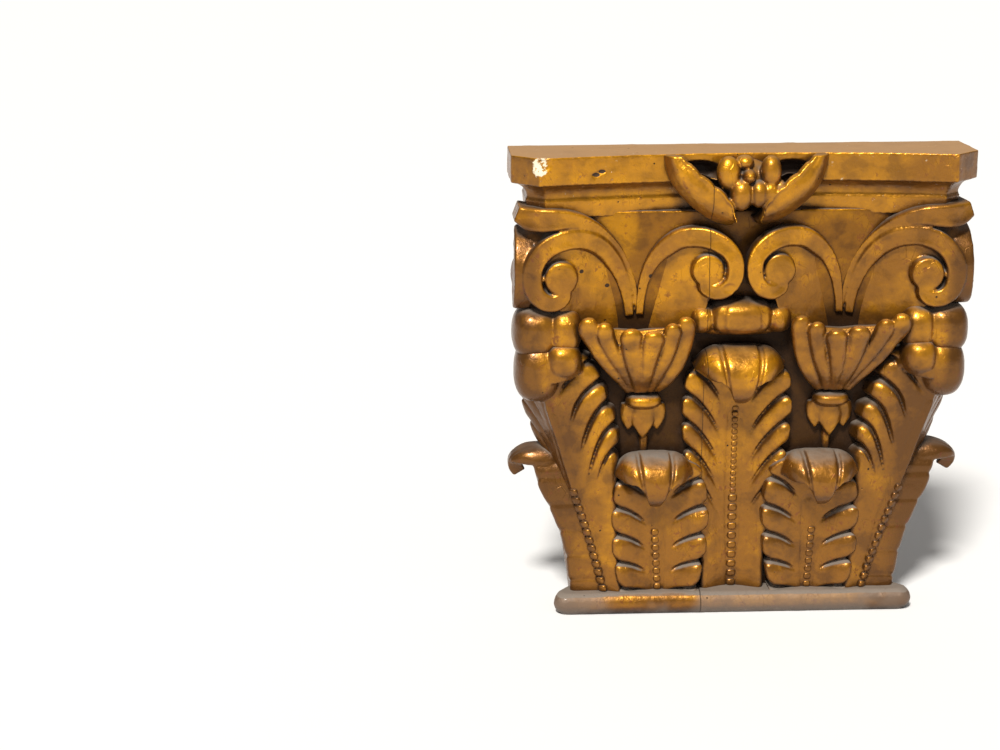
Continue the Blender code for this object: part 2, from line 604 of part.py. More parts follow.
def abacus():
    """The moulded slab on top: fascia, cove and lower band."""
    under = HEIGHT - ABACUS_HEIGHT
    cove_foot = under + BAND_HEIGHT
    fascia_foot = cove_foot + COVE_HEIGHT
    levels = [(under, COVE_INSET * 1.15), (cove_foot, COVE_INSET * 0.95)]
    for share in (0.08, 0.4, 0.75, 1.0):
        turn = share * math.pi / 2
        levels.append((cove_foot + COVE_HEIGHT * math.sin(turn) * 0.96,
                       COVE_INSET * (0.16 + 0.92 * math.cos(turn))))
    levels.append((fascia_foot, 0.0))
    levels.append((HEIGHT - 0.0014, 0.0))
    levels.append((HEIGHT, 0.0012))
    rings = []
    for height, inset in levels:
        outline = abacus_outline(inset)
        rings.append(np.column_stack([outline, np.full(len(outline), height)]))
    shell = Shell("abacus")
    index = shell.add(np.array(rings))
    shell.quads(np.concatenate([index, index[:, :1]], 1))
    shell.faces.append(tuple(index[0][::-1]))
    shell.faces.append(tuple(index[-1]))
    return shell.build(laid=False)


def base():
    """The rounded slab under the bell."""
    half = BASE_WIDTH / 2
    rings = []
    edge = ((0.0, 0.75), (0.3, 0.25), (0.5, 0.0), (0.75, 0.25), (1.0, 1.0))
    for share, inset in edge:
        r = inset * BASE_ROUND
        outline = [(-half + BASE_TAPER + r, 0.01), (-half + BASE_TAPER + r, -BASE_DEPTH * 0.4)]
        for i in range(4):
            turn = math.pi / 2 * i / 3
            outline.append((-half + r + BASE_CORNER * (1 - math.cos(turn)),
                            -(BASE_DEPTH - r - BASE_CORNER * (1 - math.sin(turn)))))
        mirror = [(-x, y) for x, y in outline[::-1]]
        outline = np.array(outline + mirror)
        rings.append(np.column_stack([outline, np.full(len(outline), share * BASE_HEIGHT)]))
    shell = Shell("base")
    index = shell.add(np.array(rings))
    shell.quads(np.concatenate([index, index[:, :1]], 1))
    shell.faces.append(tuple(index[0][::-1]))
    shell.faces.append(tuple(index[-1]))
    return shell.build(laid=False)


def bell():
    """The core that the leaves lie on, flaring from the base to the abacus."""
    low = BASE_HEIGHT - JOINT_LAP
    high = BELL_TOP + JOINT_LAP
    rings = []
    for i in range(8):
        t = i / 7
        flare = t ** 1.7
        half = (BELL_FOOT_WIDTH + (BELL_LIP_WIDTH - BELL_FOOT_WIDTH) * flare) / 2
        deep = BELL_FOOT_DEPTH + (BELL_LIP_DEPTH - BELL_FOOT_DEPTH) * flare
        cut = deep * 0.45
        outline = [(-half, 0.01), (-half, -(deep - cut)), (-half + cut * 0.4, -(deep - cut * 0.3)),
                   (-half + cut * 1.2, -deep)]
        outline += [(-x, y) for x, y in outline[::-1]]
        outline = np.array(outline)
        rings.append(np.column_stack([outline, np.full(len(outline), low + (high - low) * t)]))
    shell = Shell("bell")
    index = shell.add(np.array(rings))
    shell.quads(np.concatenate([index, index[:, :1]], 1))
    shell.faces.append(tuple(index[0][::-1]))
    shell.faces.append(tuple(index[-1]))
    return shell.build(laid=False)


def carving():
    """Every carved element as a closed shell of its own."""
    parts = []
    parts.append(leaf("centre_leaf", CENTRE_LEAF, upright(0.0)))

    def ahead(centre, side=1.0):
        def place(a, z, d):
            return np.stack([side * centre + np.broadcast_to(a, z.shape), z, d], -1)
        return place

    parts.append(curl("centre_curl", CENTRE_CURL, ahead(0.0)))
    parts += lumps("middle_band", MIDDLE_BAND, boxy=0.65)
    for side in (-1.0, 1.0):
        tag = "left" if side < 0 else "right"
        parts.append(leaf("small_leaf_" + tag, SMALL_LEAF, upright(61.0, side)))
        parts.append(curl("small_curl_" + tag, SMALL_CURL, ahead(67.0, side)))
        parts.append(leaf("corner_leaf_" + tag, CORNER_LEAF, cornerwise(side)))
        parts.append(curl("corner_curl_" + tag, CORNER_CURL, diagonal(side, (148.0, 45.0), 42.0)))
        parts += lumps("corner_head_" + tag, CORNER_HEAD, side, 0.95)
        parts.append(leaf("side_leaf_" + tag, SIDE_LEAF, sidelong(side, 24.0, SIDE_LEAN),
                          across=(0.0, 0.5, 1.0)))

        def outward(a, z, d, side=side):
            return np.stack([side * d, z, 24.0 + np.broadcast_to(a, z.shape)], -1)

        parts.append(curl("side_curl_" + tag, SIDE_CURL, outward))
        parts += lumps("corner_post_" + tag, (CORNER_POST,), side, 0.45, 8)
        for kind, place, steps, sides in (("front", flat(side), PATH_STEPS, 14),
                                          ("side", turned(side), PATH_STEPS - 4, 10)):
            name = "volute_" + kind + "_" + tag
            parts.append(ground(name + "_ground", CORNER_BAND, CORNER_EYE, volute_face, place,
                                7.5, 30.0, steps))
            parts.append(band(name, CORNER_BAND, volute_face, place, 0.0, 14.0, steps))
            parts.append(disc(name + "_eye", CORNER_EYE, volute_face, place, -0.5, 16.0, sides))
        name = "helix_" + tag
        parts.append(ground(name + "_ground", HELIX_BAND, HELIX_EYE, helix_face, flat(side),
                            7.5, 34.0, PATH_STEPS))
        parts.append(band(name, HELIX_BAND, helix_face, flat(side), 0.0, 14.0, PATH_STEPS))
        parts.append(disc(name + "_eye", HELIX_EYE, helix_face, flat(side), -0.5, 16.0, 14))
        parts.append(band("tongue_" + tag, TONGUE_BAND, tongue_face, flat(side), 0.0, 34.0, 12))
        parts += lumps("sepal_" + tag, SEPAL, side, 0.72, 12)
        parts.append(calyx("calyx_" + tag, side))
        for i, rows in enumerate(CUP_FINGERS):
            parts.append(finger("finger_%d_%s" % (i, tag), rows, side))
        parts += lumps("ring_" + tag, ((76.0, 177.0, 42.0, 14.5, 6.0, 13.0),), side, 0.8)
        parts.append(drop_leaf("drop_" + tag, side, 76.0, 174.0, 146.0, 9.5, 45.0))
        parts.append(drop_leaf("drop_in_" + tag, side, 64.5, 174.0, 152.0, 7.5, 42.0))
        parts.append(drop_leaf("drop_out_" + tag, side, 87.5, 174.0, 152.0, 7.5, 42.0))
        parts.append(drop_leaf("stem_" + tag, side, 74.5, 152.0, 126.0, 4.0, 38.0))
        parts.append(wing("wing_" + tag, side))
    parts += lumps("flower", PETALS, 1.0, 1.0)
    return [part.build() for part in parts]


def gold():
    material = bpy.data.materials.new("aged_gold_leaf")
    material.use_nodes = True
    shader = material.node_tree.nodes["Principled BSDF"]
    shader.inputs["Base Color"].default_value = (0.36, 0.17, 0.035, 1.0)
    shader.inputs["Metallic"].default_value = 0.6
    shader.inputs["Roughness"].default_value = 0.42
    return material


def trimmer():
    """A box over everything behind the wall plane, to leave the back flat."""
    size = 4.0 * (HEIGHT + ABACUS_WIDTH)
    mesh = bpy.data.meshes.new("behind_wall")
    bm = bmesh.new()
    bmesh.ops.create_cube(bm, size=1.0)
    for v in bm.verts:
        v.co = (v.co.x * size, v.co.y * size + size / 2 + WALL, v.co.z * size)
    bm.to_mesh(mesh)
    bm.free()
    box = bpy.data.objects.new("behind_wall", mesh)
    bpy.context.scene.collection.objects.link(box)
    box.hide_render = True
    box.display_type = "WIRE"
    return box


def main():
    for existing in list(bpy.data.objects):
        bpy.data.objects.remove(existing, do_unlink=True)
    scene = bpy.context.scene
    capital = bell()
    capital.name = "capital"
    scene.collection.objects.link(capital)
    cutters = bpy.data.collections.new("carving")
    scene.collection.children.link(cutters)
    for piece in [abacus(), base()] + carving():
        cutters.objects.link(piece)
        piece.hide_render = True
        piece.display_type = "WIRE"
    union = capital.modifiers.new("Carving", "BOOLEAN")
    union.operation = "UNION"
    union.operand_type = "COLLECTION"
    union.collection = cutters
    union.solver = "EXACT"
    cut = capital.modifiers.new("Flat back", "BOOLEAN")
    cut.operation = "DIFFERENCE"
    cut.object = trimmer()
    cut.solver = "EXACT"
    thin = capital.modifiers.new("Fewer facets", "DECIMATE")
    thin.decimate_type = "COLLAPSE"
    thin.ratio = FACET_SHARE
    thin.use_collapse_triangulate = True
    capital.data.materials.append(gold())


main()
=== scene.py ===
"""Looks of a carved and gilded Corinthian pilaster capital.

The carving is drawn in millimetres: across from the middle, up from the underside and forward
from the wall. lay_on_block() puts that drawing on the block, in metres. Each piece is built from
closed shells, fused on a fine voxel grid and softened, as gesso softens carved wood.
"""
import math

import bmesh
import bpy
import numpy as np
from bpy.props import FloatProperty, FloatVectorProperty, IntProperty, PointerProperty
from mathutils import Matrix, Vector, noise


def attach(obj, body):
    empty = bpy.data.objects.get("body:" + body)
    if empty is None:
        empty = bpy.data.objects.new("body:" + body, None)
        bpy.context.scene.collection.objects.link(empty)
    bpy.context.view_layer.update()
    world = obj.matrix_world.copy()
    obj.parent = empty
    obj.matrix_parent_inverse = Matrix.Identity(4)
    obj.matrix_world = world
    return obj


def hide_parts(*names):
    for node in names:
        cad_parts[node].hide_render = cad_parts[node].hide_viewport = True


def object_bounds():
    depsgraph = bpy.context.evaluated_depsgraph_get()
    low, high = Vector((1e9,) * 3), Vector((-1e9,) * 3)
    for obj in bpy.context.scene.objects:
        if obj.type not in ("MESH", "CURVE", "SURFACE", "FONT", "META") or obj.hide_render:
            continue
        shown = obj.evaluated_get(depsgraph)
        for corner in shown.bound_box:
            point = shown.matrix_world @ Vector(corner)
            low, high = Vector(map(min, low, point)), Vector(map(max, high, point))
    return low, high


bl_info = {
    "name": "Giltwood pilaster capital",
    "version": (1, 0, 0),
    "blender": (4, 5, 0),
    "location": "View3D > Sidebar > Capital",
    "description": "Carves and gilds a Corinthian pilaster capital on its packed solid",
    "category": "Object",
}

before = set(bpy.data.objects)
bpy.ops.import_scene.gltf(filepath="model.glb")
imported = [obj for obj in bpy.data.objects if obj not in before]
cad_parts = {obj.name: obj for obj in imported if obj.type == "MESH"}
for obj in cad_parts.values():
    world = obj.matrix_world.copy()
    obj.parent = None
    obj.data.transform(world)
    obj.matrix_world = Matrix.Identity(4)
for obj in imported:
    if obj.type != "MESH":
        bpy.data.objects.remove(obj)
CAD_LOW, CAD_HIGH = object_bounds()
NODE = "capital"

# The drawing that the carving is laid out on, in millimetres.
DRAWN_FOOT = 17.5
DRAWN_LIP = 326.0
DRAWN_TOP = 375.0
DRAWN_TOP_WIDTH = 330.0
DRAWN_FOOT_WIDTH = 292.0
DRAWN_TOP_DEPTH = 76.0
DRAWN_FOOT_DEPTH = 54.0
BELL_SIDE = ((10, 125), (60, 126), (120, 130), (190, 139), (260, 150), (331, 158))
BELL_FACE = ((10, 31), (60, 31), (120, 32), (190, 36), (260, 43), (331, 50))

# Centre line of each scroll's band on the drawing: across, up, width.
CORNER_BAND = ((89, 246, 7), (91.5, 262, 9), (96.5, 278, 11.5), (104.5, 292, 13.5),
               (115, 303, 14.8), (128, 309.5, 15.4), (142, 310.5, 15.6), (155, 306, 15.6),
               (164, 298, 15.6), (169, 288, 15.6), (169.5, 277.5, 15.4), (166, 268, 14.6),
               (158.5, 262, 13.6), (150, 261.5, 12.6), (144, 266, 11), (145, 273, 9))
CORNER_EYE = (146.5, 280.5, 13.2)
HELIX_BAND = ((81, 247, 6.5), (80, 262, 7.5), (77, 277, 9.5), (71, 290.5, 12),
              (61.5, 301, 14.6), (50, 308.5, 15.6), (37.5, 310.5, 15.8), (25.5, 308.5, 15.4),
              (15.4, 303, 14.2), (9, 295, 13.4), (7.4, 285.5, 13.2), (9.4, 276.5, 12.8),
              (15.5, 270, 12.4), (23.5, 267.8, 12), (30.5, 271, 11), (30.5, 277, 9))
HELIX_EYE = (28.4, 284.2, 13.0)
TONGUE_BAND = ((82.5, 250, 3), (84.5, 264, 4), (89, 281, 4.5), (97, 297, 5), (108, 310, 6),
               (119, 318.5, 8), (130, 323.5, 11), (141, 326, 14), (152, 326.4, 16.5),
               (163, 326.2, 18), (173, 327, 17.5), (182.5, 330.5, 12))
# Sections of a scroll's band and its eye: share of the half width, drop below the face.
BAND_SECTION = ((-1.0, 2.0), (-0.9, 0.5), (-0.74, 0.0), (-0.3, 0.35), (0.3, 0.35), (0.74, 0.0),
                (0.9, 0.5), (1.0, 2.0))
EYE_SECTION = ((1.0, 1.9), (0.94, 0.7), (0.82, 0.1), (0.5, -0.2), (0.2, -0.4))

# The folded midrib of the corner leaf: its place across and forward, by height.
CORNER_RIB = ((10, 101), (24, 105), (50, 112), (76, 120), (106, 130.5), (143, 142), (165, 149.5),
              (182, 156), (224, 158))
CORNER_RIB_FORWARD = ((10, 40), (24, 41), (50, 43), (76, 46), (106, 49), (143, 53), (165, 55.5),
                      (182, 57), (224, 54))

# What the leaves share, then each leaf and its rolled head.
LEAF = dict(lobes=4, foot=9.0, outer=1.0, rise=7.0, swell=5.0, groove=5.4, rib=0.6, pace=1.0)
CENTRE_LEAF = dict(LEAF, head=219.0, rib_start=52.0, rib_top=150.0, edge_start=112.0,
                   edge_top=203.0, pace=0.96, notch=0.20, valley=2.5, groove=5.2, root=8.0,
                   width=((9, 25), (50, 26), (80, 32), (110, 40), (160, 45), (190, 44), (204, 40)))
CENTRE_CURL = dict(half=37.0, reach=27.0, tall=24.0, centre_d=48.0, centre_z=199.0, roll=146.0,
                   side_roll=94.0, crease=0.13, crease_at=0.43, taper=0.36, drip=1.0)
SMALL_LEAF = dict(LEAF, head=132.0, rib_start=12.0, rib_top=84.0, edge_start=20.0,
                  edge_top=113.0, notch=0.17, valley=9.5, root=6.0,
                  width=((9, 30), (50, 38), (90, 40), (112, 36)))
SMALL_CURL = dict(half=32.0, reach=26.0, tall=22.5, centre_d=47.0, centre_z=113.0, roll=146.0,
                  side_roll=86.0, crease=0.13, crease_at=0.42, taper=0.36, drip=0.5)
CORNER_LEAF = dict(LEAF, head=222.0, rib_start=62.0, rib_top=168.0, edge_start=138.0,
                   edge_top=212.0, pace=0.95, notch=0.20, outer=0.3, valley=3.4, rise=3.4,
                   rib=0.8, root=18.0, width=((9, 13), (50, 19), (100, 33), (143, 49),
                                              (170, 54), (195, 50), (213, 40)))
CORNER_CURL = dict(half=25.0, reach=22.0, tall=20.0, centre_d=0.0, centre_z=201.0, roll=140.0,
                   side_roll=100.0, crease=0.04, crease_at=0.36, taper=0.2, drip=0.0)
SIDE_LEAF = dict(LEAF, head=133.0, rib_start=14.0, rib_top=82.0, edge_start=26.0,
                 edge_top=114.0, notch=0.05, valley=5.5, rise=0.0, swell=0.6, groove=1.1,
                 root=36.0, width=((9, 17), (50, 20), (90, 22), (114, 20)))
SIDE_CURL = dict(half=18.0, reach=24.0, tall=15.0, centre_d=160.0, centre_z=122.0, roll=130.0,
                 side_roll=80.0, crease=0.05, crease_at=0.45, taper=0.4, drip=3.0)
# How far the side leaf leans out from the bell, by height.
SIDE_LEAN = ((9, 0), (35, 3), (60, 7), (85, 15), (105, 24), (125, 28), (140, 28))
# How far the side leaf stands from the wall, and the small leaf and its head from the middle.
SIDE_CENTRE = 24.0
SMALL_ACROSS = 61.0
SMALL_HEAD_ACROSS = 67.0

# Rounded lumps: across, up, forward, their three half sizes, and how round they are.
CORNER_HEAD = ((163.0, 204.5, 46.0, 19.0, 25.0, 24.0, 0.8),
               (143.0, 214.5, 57.0, 14.0, 14.5, 17.0, 0.8))
CORNER_BACKING = (160.0, 287.0, 36.0, 21.0, 37.0, 24.0, 0.65)
SEPALS = ((165.0, 235.5, 44.0, 19.0, 20.5, 25.0, 0.72),
          (142.0, 237.0, 52.0, 14.0, 18.0, 18.0, 0.8))
CUP_RING = (76.0, 177.0, 42.0, 14.5, 6.0, 13.0, 0.8)
FLOWER_HEART = ((0.0, 356.0, 54.0, 22.0, 15.0, 18.0, 1.0),
                (0.0, 359.5, 72.0, 5.2, 5.2, 9.5, 1.0))
PETALS = ((-16.0, 361.5, 70.0, 8.6, 12.5, 8.0), (17.5, 363.0, 71.0, 7.6, 11.5, 8.5),
          (-2.5, 369.5, 66.0, 6.5, 5.4, 9.0), (-5.5, 345.0, 72.0, 8.4, 11.5, 9.0),
          (8.0, 345.5, 73.0, 6.6, 9.8, 8.0), (17.0, 346.5, 71.0, 6.0, 9.0, 8.0),
          (25.5, 348.5, 68.0, 4.6, 7.0, 7.0))
PETAL_SPREAD = (1.12, 1.06)

# Drops under the cup's ring: across, top, tip, half width, forward; then their widths on the way.
DROPS = ((76.0, 174.0, 146.0, 9.5, 45.0), (64.5, 174.0, 152.0, 7.5, 42.0),
         (87.5, 174.0, 152.0, 7.5, 42.0), (74.5, 152.0, 126.0, 4.0, 38.0))
DROP_WIDTH = ((0.0, 0.8), (0.3, 1.0), (0.62, 0.86), (0.85, 0.45), (1.0, 0.08))

# The cup's two edges, up and across, on the outer and the inner side.
CUP_OUTER_EDGE = ((186, 90), (201, 101), (211, 109), (221, 118), (231, 124), (242, 128),
                  (258, 126))
CUP_INNER_EDGE = ((186, 64), (192, 57), (203, 51), (216, 46), (226, 42), (238, 40), (258, 40))

# Fingers of the cup: across, up, forward, half width, half thickness.
CUP_FINGERS = (
    ((88, 186, 46, 3.5, 3.5), (98, 201, 54, 5.5, 4.5), (108, 215, 60, 7, 5),
     (117, 229, 65, 7.6, 5.4), (124, 241, 69, 7.6, 5.6), (125.5, 252, 71, 7, 6)),
    ((85, 187, 47, 3.5, 3.5), (92, 202, 56, 5, 4.6), (100, 216, 63, 6, 5),
     (107.5, 229, 68, 6.6, 5.2), (111.5, 240, 71, 6.6, 5.4), (112, 248, 72, 6.2, 5.6)),
    ((81, 187, 48, 4, 4), (84.5, 203, 60, 6, 5), (88, 218, 67, 7.4, 5.4),
     (90.5, 232, 71, 8, 5.6), (91, 243, 73, 7.6, 6)),
    ((77, 187, 48, 4, 4), (76, 204, 62, 5.4, 5), (75, 220, 69, 6.8, 5.4),
     (73, 233, 72, 7.6, 5.6), (72.5, 240.5, 74, 7, 6)),
    ((72, 187, 47, 4, 4), (66.5, 203, 59, 5, 4.8), (61.5, 218, 65, 6, 5.2),
     (58.5, 233, 68, 6.6, 5.4), (57, 246, 70, 6.2, 5.8)),
    ((67, 187, 45, 4.5, 3.5), (59, 198, 53, 6, 4.4), (52.5, 211, 58, 7, 4.8),
     (48.5, 225, 61, 7.4, 5), (46.5, 238, 63, 7.4, 5.4), (46, 250, 65, 6.8, 5.8)))

# Edges of a wing of the flower's cup: across, up.
WING_OUTER = ((7, 318), (24, 322.5), (41, 333), (55.5, 347), (63.5, 361), (66, 374.6))
WING_INNER = ((12, 329), (15, 338), (21.5, 345.5), (32, 354), (44, 363.5), (54, 374.6))

# How far forward of the wall the backs of thin pieces lie, inside the bell.
BACKING = 24.0

# Metres: the base's rounded edge (share of its height, share of the rounding) and its corners,
# the bell's depth at its foot and its lip, and how far it runs into the slabs.
BASE_EDGE = ((0.0, 0.75), (0.12, 0.45), (0.3, 0.15), (0.5, 0.0), (0.7, 0.12), (0.87, 0.42),
             (1.0, 1.0))
BASE_ROUND = 0.0057
BASE_CORNER = 0.009
BASE_STEP = 0.016
BELL_DEPTHS = (0.031, 0.050)
BELL_OVERLAP = 0.004

# Knocks on the left inner scroll: centre, radii and depth, in metres.
HELIX_KNOCKS = (((-0.0125, -0.043, 0.2824), (0.007, 0.008, 0.005), 0.0008),
                ((-0.0060, -0.043, 0.2770), (0.005, 0.008, 0.005), 0.0007))

# Slow unevenness of hand carving: metres deep, turns a metre.
UNEVENNESS = ((0.00042, 45.0), (0.00022, 130.0), (0.00010, 420.0))

# Metres: the size of the creases and the recesses that are darkened with dirt and painted shade,
# and the heights between which the bell turns dark with painted shade.
CREASE_SIZE = 0.010
RECESS_SIZE = 0.050
LOW_SHADE_LEVELS = (0.272, 0.252)

SIDES = ((-1.0, "left"), (1.0, "right"))
CAMERA = dict(lens=67.5, shift=(0.042, -0.098), yaw=1.6, pitch=12.05, roll=0.4,
              place=(-0.2704, -1.4979, 0.6059))
SUN = dict(energy=4.2, angle=10.0, color=(1.0, 0.97, 0.91), way=(0.32, 1.0, -1.25))
SKY = dict(color=(1.0, 0.97, 0.92, 1.0), strength=0.26)


def length(name, default, description, **more):
    """A size of the panel, in the scene's units."""
    return FloatProperty(name=name, description=description, default=default, unit="LENGTH",
                         subtype="DISTANCE", **more)


def tint(name, default, description):
    """A colour of the panel."""
    return FloatVectorProperty(name=name, description=description, default=default,
                               subtype="COLOR", size=3)


class CapitalSizes(bpy.types.PropertyGroup):
    """Sizes of the block and of the finer carving."""
    height: length("Height", CAD_HIGH.z - CAD_LOW.z, "From the underside to the top")
    abacus_width: length("Abacus width", 0.330, "Between the front corners")
    abacus_depth: length("Abacus depth", 0.076, "From the wall to the corners")
    horn_cut: length("Horn cut", 0.022, "Run of each cut corner, both ways")
    hollow: length("Hollow", 0.021, "Sweep of the abacus front")
    fascia: length("Fascia", 0.0224, "Height of the upper face")
    cove: length("Cove", 0.013, "Height of the hollow moulding")
    band: length("Band", 0.0156, "Height of the band under the cove")
    cove_inset: length("Cove inset", 0.0125, "How far the band stands back")
    base_width: length("Base width", 0.302, "Across the base slab")
    base_depth: length("Base depth", 0.054, "From the wall to its front")
    base_height: length("Base height", 0.0182, "Thickness of the base slab")
    bell_foot: length("Bell foot", 0.258, "Width of the core at the base")
    bell_lip: length("Bell lip", 0.316, "Width of the core at the abacus")
    bead_pitch: length("Bead pitch", 0.0060, "Spacing of the midrib beads")
    bead_width: length("Bead width", 0.0068, "Width of the midrib beads")
    grain: length("Grid", 0.0010, "Voxel size that the shells are fused on", precision=5)
    soften: IntProperty(name="Softening", description="Rounds of smoothing after fusing",
                        default=3, min=0, max=20)


class CapitalColours(bpy.types.PropertyGroup):
    """Colours of the gilding, its wear, its dirt and the painted shade in its hollows."""
    gold: tint("Gold", (0.64, 0.275, 0.004), "Bright leaf on the mouldings")
    # Umber is also the painted shade in the recesses, on the sides, underneath and lower down.
    toned: tint("Toned gold", (0.340, 0.137, 0.009), "Leaf under old brown size")
    umber: tint("Umber", (0.080, 0.030, 0.006), "Brown toning in the hollows")
    # Soot is also the painted shade in the hollows and pits and on the lower bell.
    soot_and_shade: tint("Soot", (0.016, 0.007, 0.003), "Dirt in the deepest recesses")
    bole: tint("Bole", (0.17, 0.042, 0.016), "Red clay where leaf has worn")
    gesso: tint("Gesso", (0.82, 0.73, 0.54), "White ground in the chips")
    dust: tint("Dust", (0.195, 0.158, 0.128), "Grey dust on the upper faces")
    top: tint("Top", (0.43, 0.255, 0.125), "Bare toned wood on the abacus top")
    floor: tint("Floor", (0.86, 0.86, 0.87), "Pale studio floor")


def sizes():
    return bpy.context.scene.capital_sizes


def colours():
    return bpy.context.scene.capital_colours


def abacus_height():
    s = sizes()
    return s.fascia + s.cove + s.band


def wall():
    """The wall plane: the origin is the middle of the underside."""
    return sizes().base_depth / 2


def smooth(t):
    """0 to 1 with level ends."""
    t = np.clip(t, 0.0, 1.0)
    return t * t * (3.0 - 2.0 * t)


def table(rows, value):
    """A table read by straight runs."""
    rows = np.asarray(rows, float)
    return np.interp(value, rows[:, 0], rows[:, 1])


def eased(rows, value):
    """A table read through a smooth curve instead of straight runs."""
    rows = np.asarray(rows, float)
    fine = np.linspace(rows[0, 0], rows[-1, 0], 200)
    raw = np.interp(fine, rows[:, 0], rows[:, 1])
    pad = np.concatenate([2 * raw[0] - raw[12:0:-1], raw, 2 * raw[-1] - raw[-2:-14:-1]])
    kernel = np.hanning(25)
    return np.interp(value, fine, np.convolve(pad, kernel / kernel.sum(), "valid"))


def lay_on_block(points):
    """Lay points of the drawing (across, up, forward) on the block, in metres."""
    s = sizes()
    points = np.asarray(points, float)
    across, up, forward = points[..., 0], points[..., 1], points[..., 2]
    share = np.clip((up - DRAWN_FOOT) / (DRAWN_LIP - DRAWN_FOOT), 0.0, 1.0)
    wide = s.base_width / DRAWN_FOOT_WIDTH * (1 - share) + s.abacus_width / DRAWN_TOP_WIDTH * share
    deep = s.base_depth / DRAWN_FOOT_DEPTH * (1 - share) + s.abacus_depth / DRAWN_TOP_DEPTH * share
    low = np.minimum(up, DRAWN_FOOT) / DRAWN_FOOT * s.base_height
    mid = share * (s.height - abacus_height() - s.base_height)
    high = np.maximum(up - DRAWN_LIP, 0.0) / (DRAWN_TOP - DRAWN_LIP) * abacus_height()
    return np.stack([across * wide, wall() - forward * deep, low + mid + high], -1)


def run(rows, count):
    """A smooth run of points through the rows of a table, evenly spaced along it."""
    rows = np.asarray(rows, float)
    ends = np.vstack([2 * rows[0] - rows[1], rows, 2 * rows[-1] - rows[-2]])
    fine = []
    for i in range(len(rows) - 1):
        a, b, c, d = ends[i:i + 4]
        t = np.linspace(0.0, 1.0, 24, endpoint=False)[:, None]
        fine.append(0.5 * (2 * b + (c - a) * t + (2 * a - 5 * b + 4 * c - d) * t ** 2
                           + (3 * b - a - 3 * c + d) * t ** 3))
    fine.append(rows[-1:])
    fine = np.vstack(fine)
    step = np.hypot(*np.diff(fine[:, :2], axis=0).T)
    travelled = np.concatenate([[0.0], np.cumsum(step)])
    at = np.linspace(0.0, travelled[-1], count)
    return np.stack([np.interp(at, travelled, column) for column in fine.T], -1)


class Shell:
    """A closed mesh put together from grids and rings of drawing points."""

    def __init__(self, laid=True):
        self.points = []
        self.faces = []
        self.laid = laid

    def add(self, grid):
        start = sum(len(p) for p in self.points)
        grid = np.asarray(grid, float)
        self.points.append(grid.reshape(-1, 3))
        return start + np.arange(grid[..., 0].size).reshape(grid.shape[:-1])

    def quads(self, index):
        a, b = index[:-1, :-1].ravel(), index[1:, :-1].ravel()
        c, d = index[1:, 1:].ravel(), index[:-1, 1:].ravel()
        self.faces.extend(np.stack([a, b, c, d], -1).tolist())

    def fan(self, ring, centre):
        hub = int(self.add(np.asarray(centre, float)[None, :])[0])
        for i in range(len(ring)):
            self.faces.append([int(ring[i]), int(ring[(i + 1) % len(ring)]), hub])

    def slab(self, front, back, sides):
        """Front and back grids joined round the named sides."""
        f = self.add(front)
        b = self.add(back)
        self.quads(f)
        self.quads(b[:, ::-1])
        rims = {"start": (f[0], b[0]), "end": (f[-1], b[-1]),
                "left": (f[:, 0], b[:, 0]), "right": (f[:, -1], b[:, -1])}
        for side in sides:
            self.quads(np.stack(rims[side]))
        return self

    def tube(self, rings):
        """Closed rings joined one to the next."""
        index = self.add(rings)
        self.quads(np.concatenate([index, index[:, :1]], 1))
        return index

    def loft(self, rings):
        """A tube with a fan at each end."""
        rings = np.asarray(rings, float)
        index = self.tube(rings)
        self.fan(index[0], rings[0].mean(0))
        self.fan(index[-1], rings[-1].mean(0))
        return self

    def prism(self, rings):
        """A tube of any outline, with one face at each end."""
        index = self.tube(rings)
        self.faces += [index[0][::-1].tolist(), index[-1].tolist()]
        return self

    def pour(self, bm):
        """Add the shell to a mesh, its double points merged and its faces turned outward."""
        points = np.vstack(self.points)
        if self.laid:
            points = lay_on_block(points)
        part = bmesh.new()
        verts = [part.verts.new(p) for p in points]
        for face in self.faces:
            if len(set(face)) == len(face):
                part.faces.new([verts[i] for i in face])
        bmesh.ops.remove_doubles(part, verts=part.verts, dist=2e-5)
        loose = [v for v in part.verts if not v.link_faces]
        bmesh.ops.delete(part, geom=loose, context="VERTS")
        bmesh.ops.recalc_face_normals(part, faces=part.faces)
        mesh = bpy.data.meshes.new("shell")
        part.to_mesh(mesh)
        part.free()
        bm.from_mesh(mesh)
        bpy.data.meshes.remove(mesh)


def carve(name, shells, coarse=1.0, keep=0.5, soften=None, dents=()):
    """Fuse shells on a voxel grid, soften the result and thin its flat places."""
    s = sizes()
    bm = bmesh.new()
    for shell in shells:
        shell.pour(bm)
    mesh = bpy.data.meshes.new(name)
    bm.to_mesh(mesh)
    bm.free()
    obj = bpy.data.objects.new(name, mesh)
    bpy.context.scene.collection.objects.link(obj)
    fuse = obj.modifiers.new("Fuse", "REMESH")
    fuse.mode = "VOXEL"
    fuse.voxel_size = s.grain * coarse
    ease = obj.modifiers.new("Soften", "SMOOTH")
    ease.factor = 0.5
    ease.iterations = s.soften if soften is None else soften
    plain(obj)
    worry(obj, dents)
    thin = obj.modifiers.new("Thin", "DECIMATE")
    thin.ratio = keep
    plain(obj)
    for polygon in obj.data.polygons:
        polygon.use_smooth = True
    return obj


def plain(obj):
    """Turn an object's evaluated modifiers into its own mesh."""
    graph = bpy.context.evaluated_depsgraph_get()
    graph.update()
    fresh = bpy.data.meshes.new_from_object(obj.evaluated_get(graph))
    fresh.name = obj.name
    old = obj.data
    obj.modifiers.clear()
    obj.data = fresh
    bpy.data.meshes.remove(old)


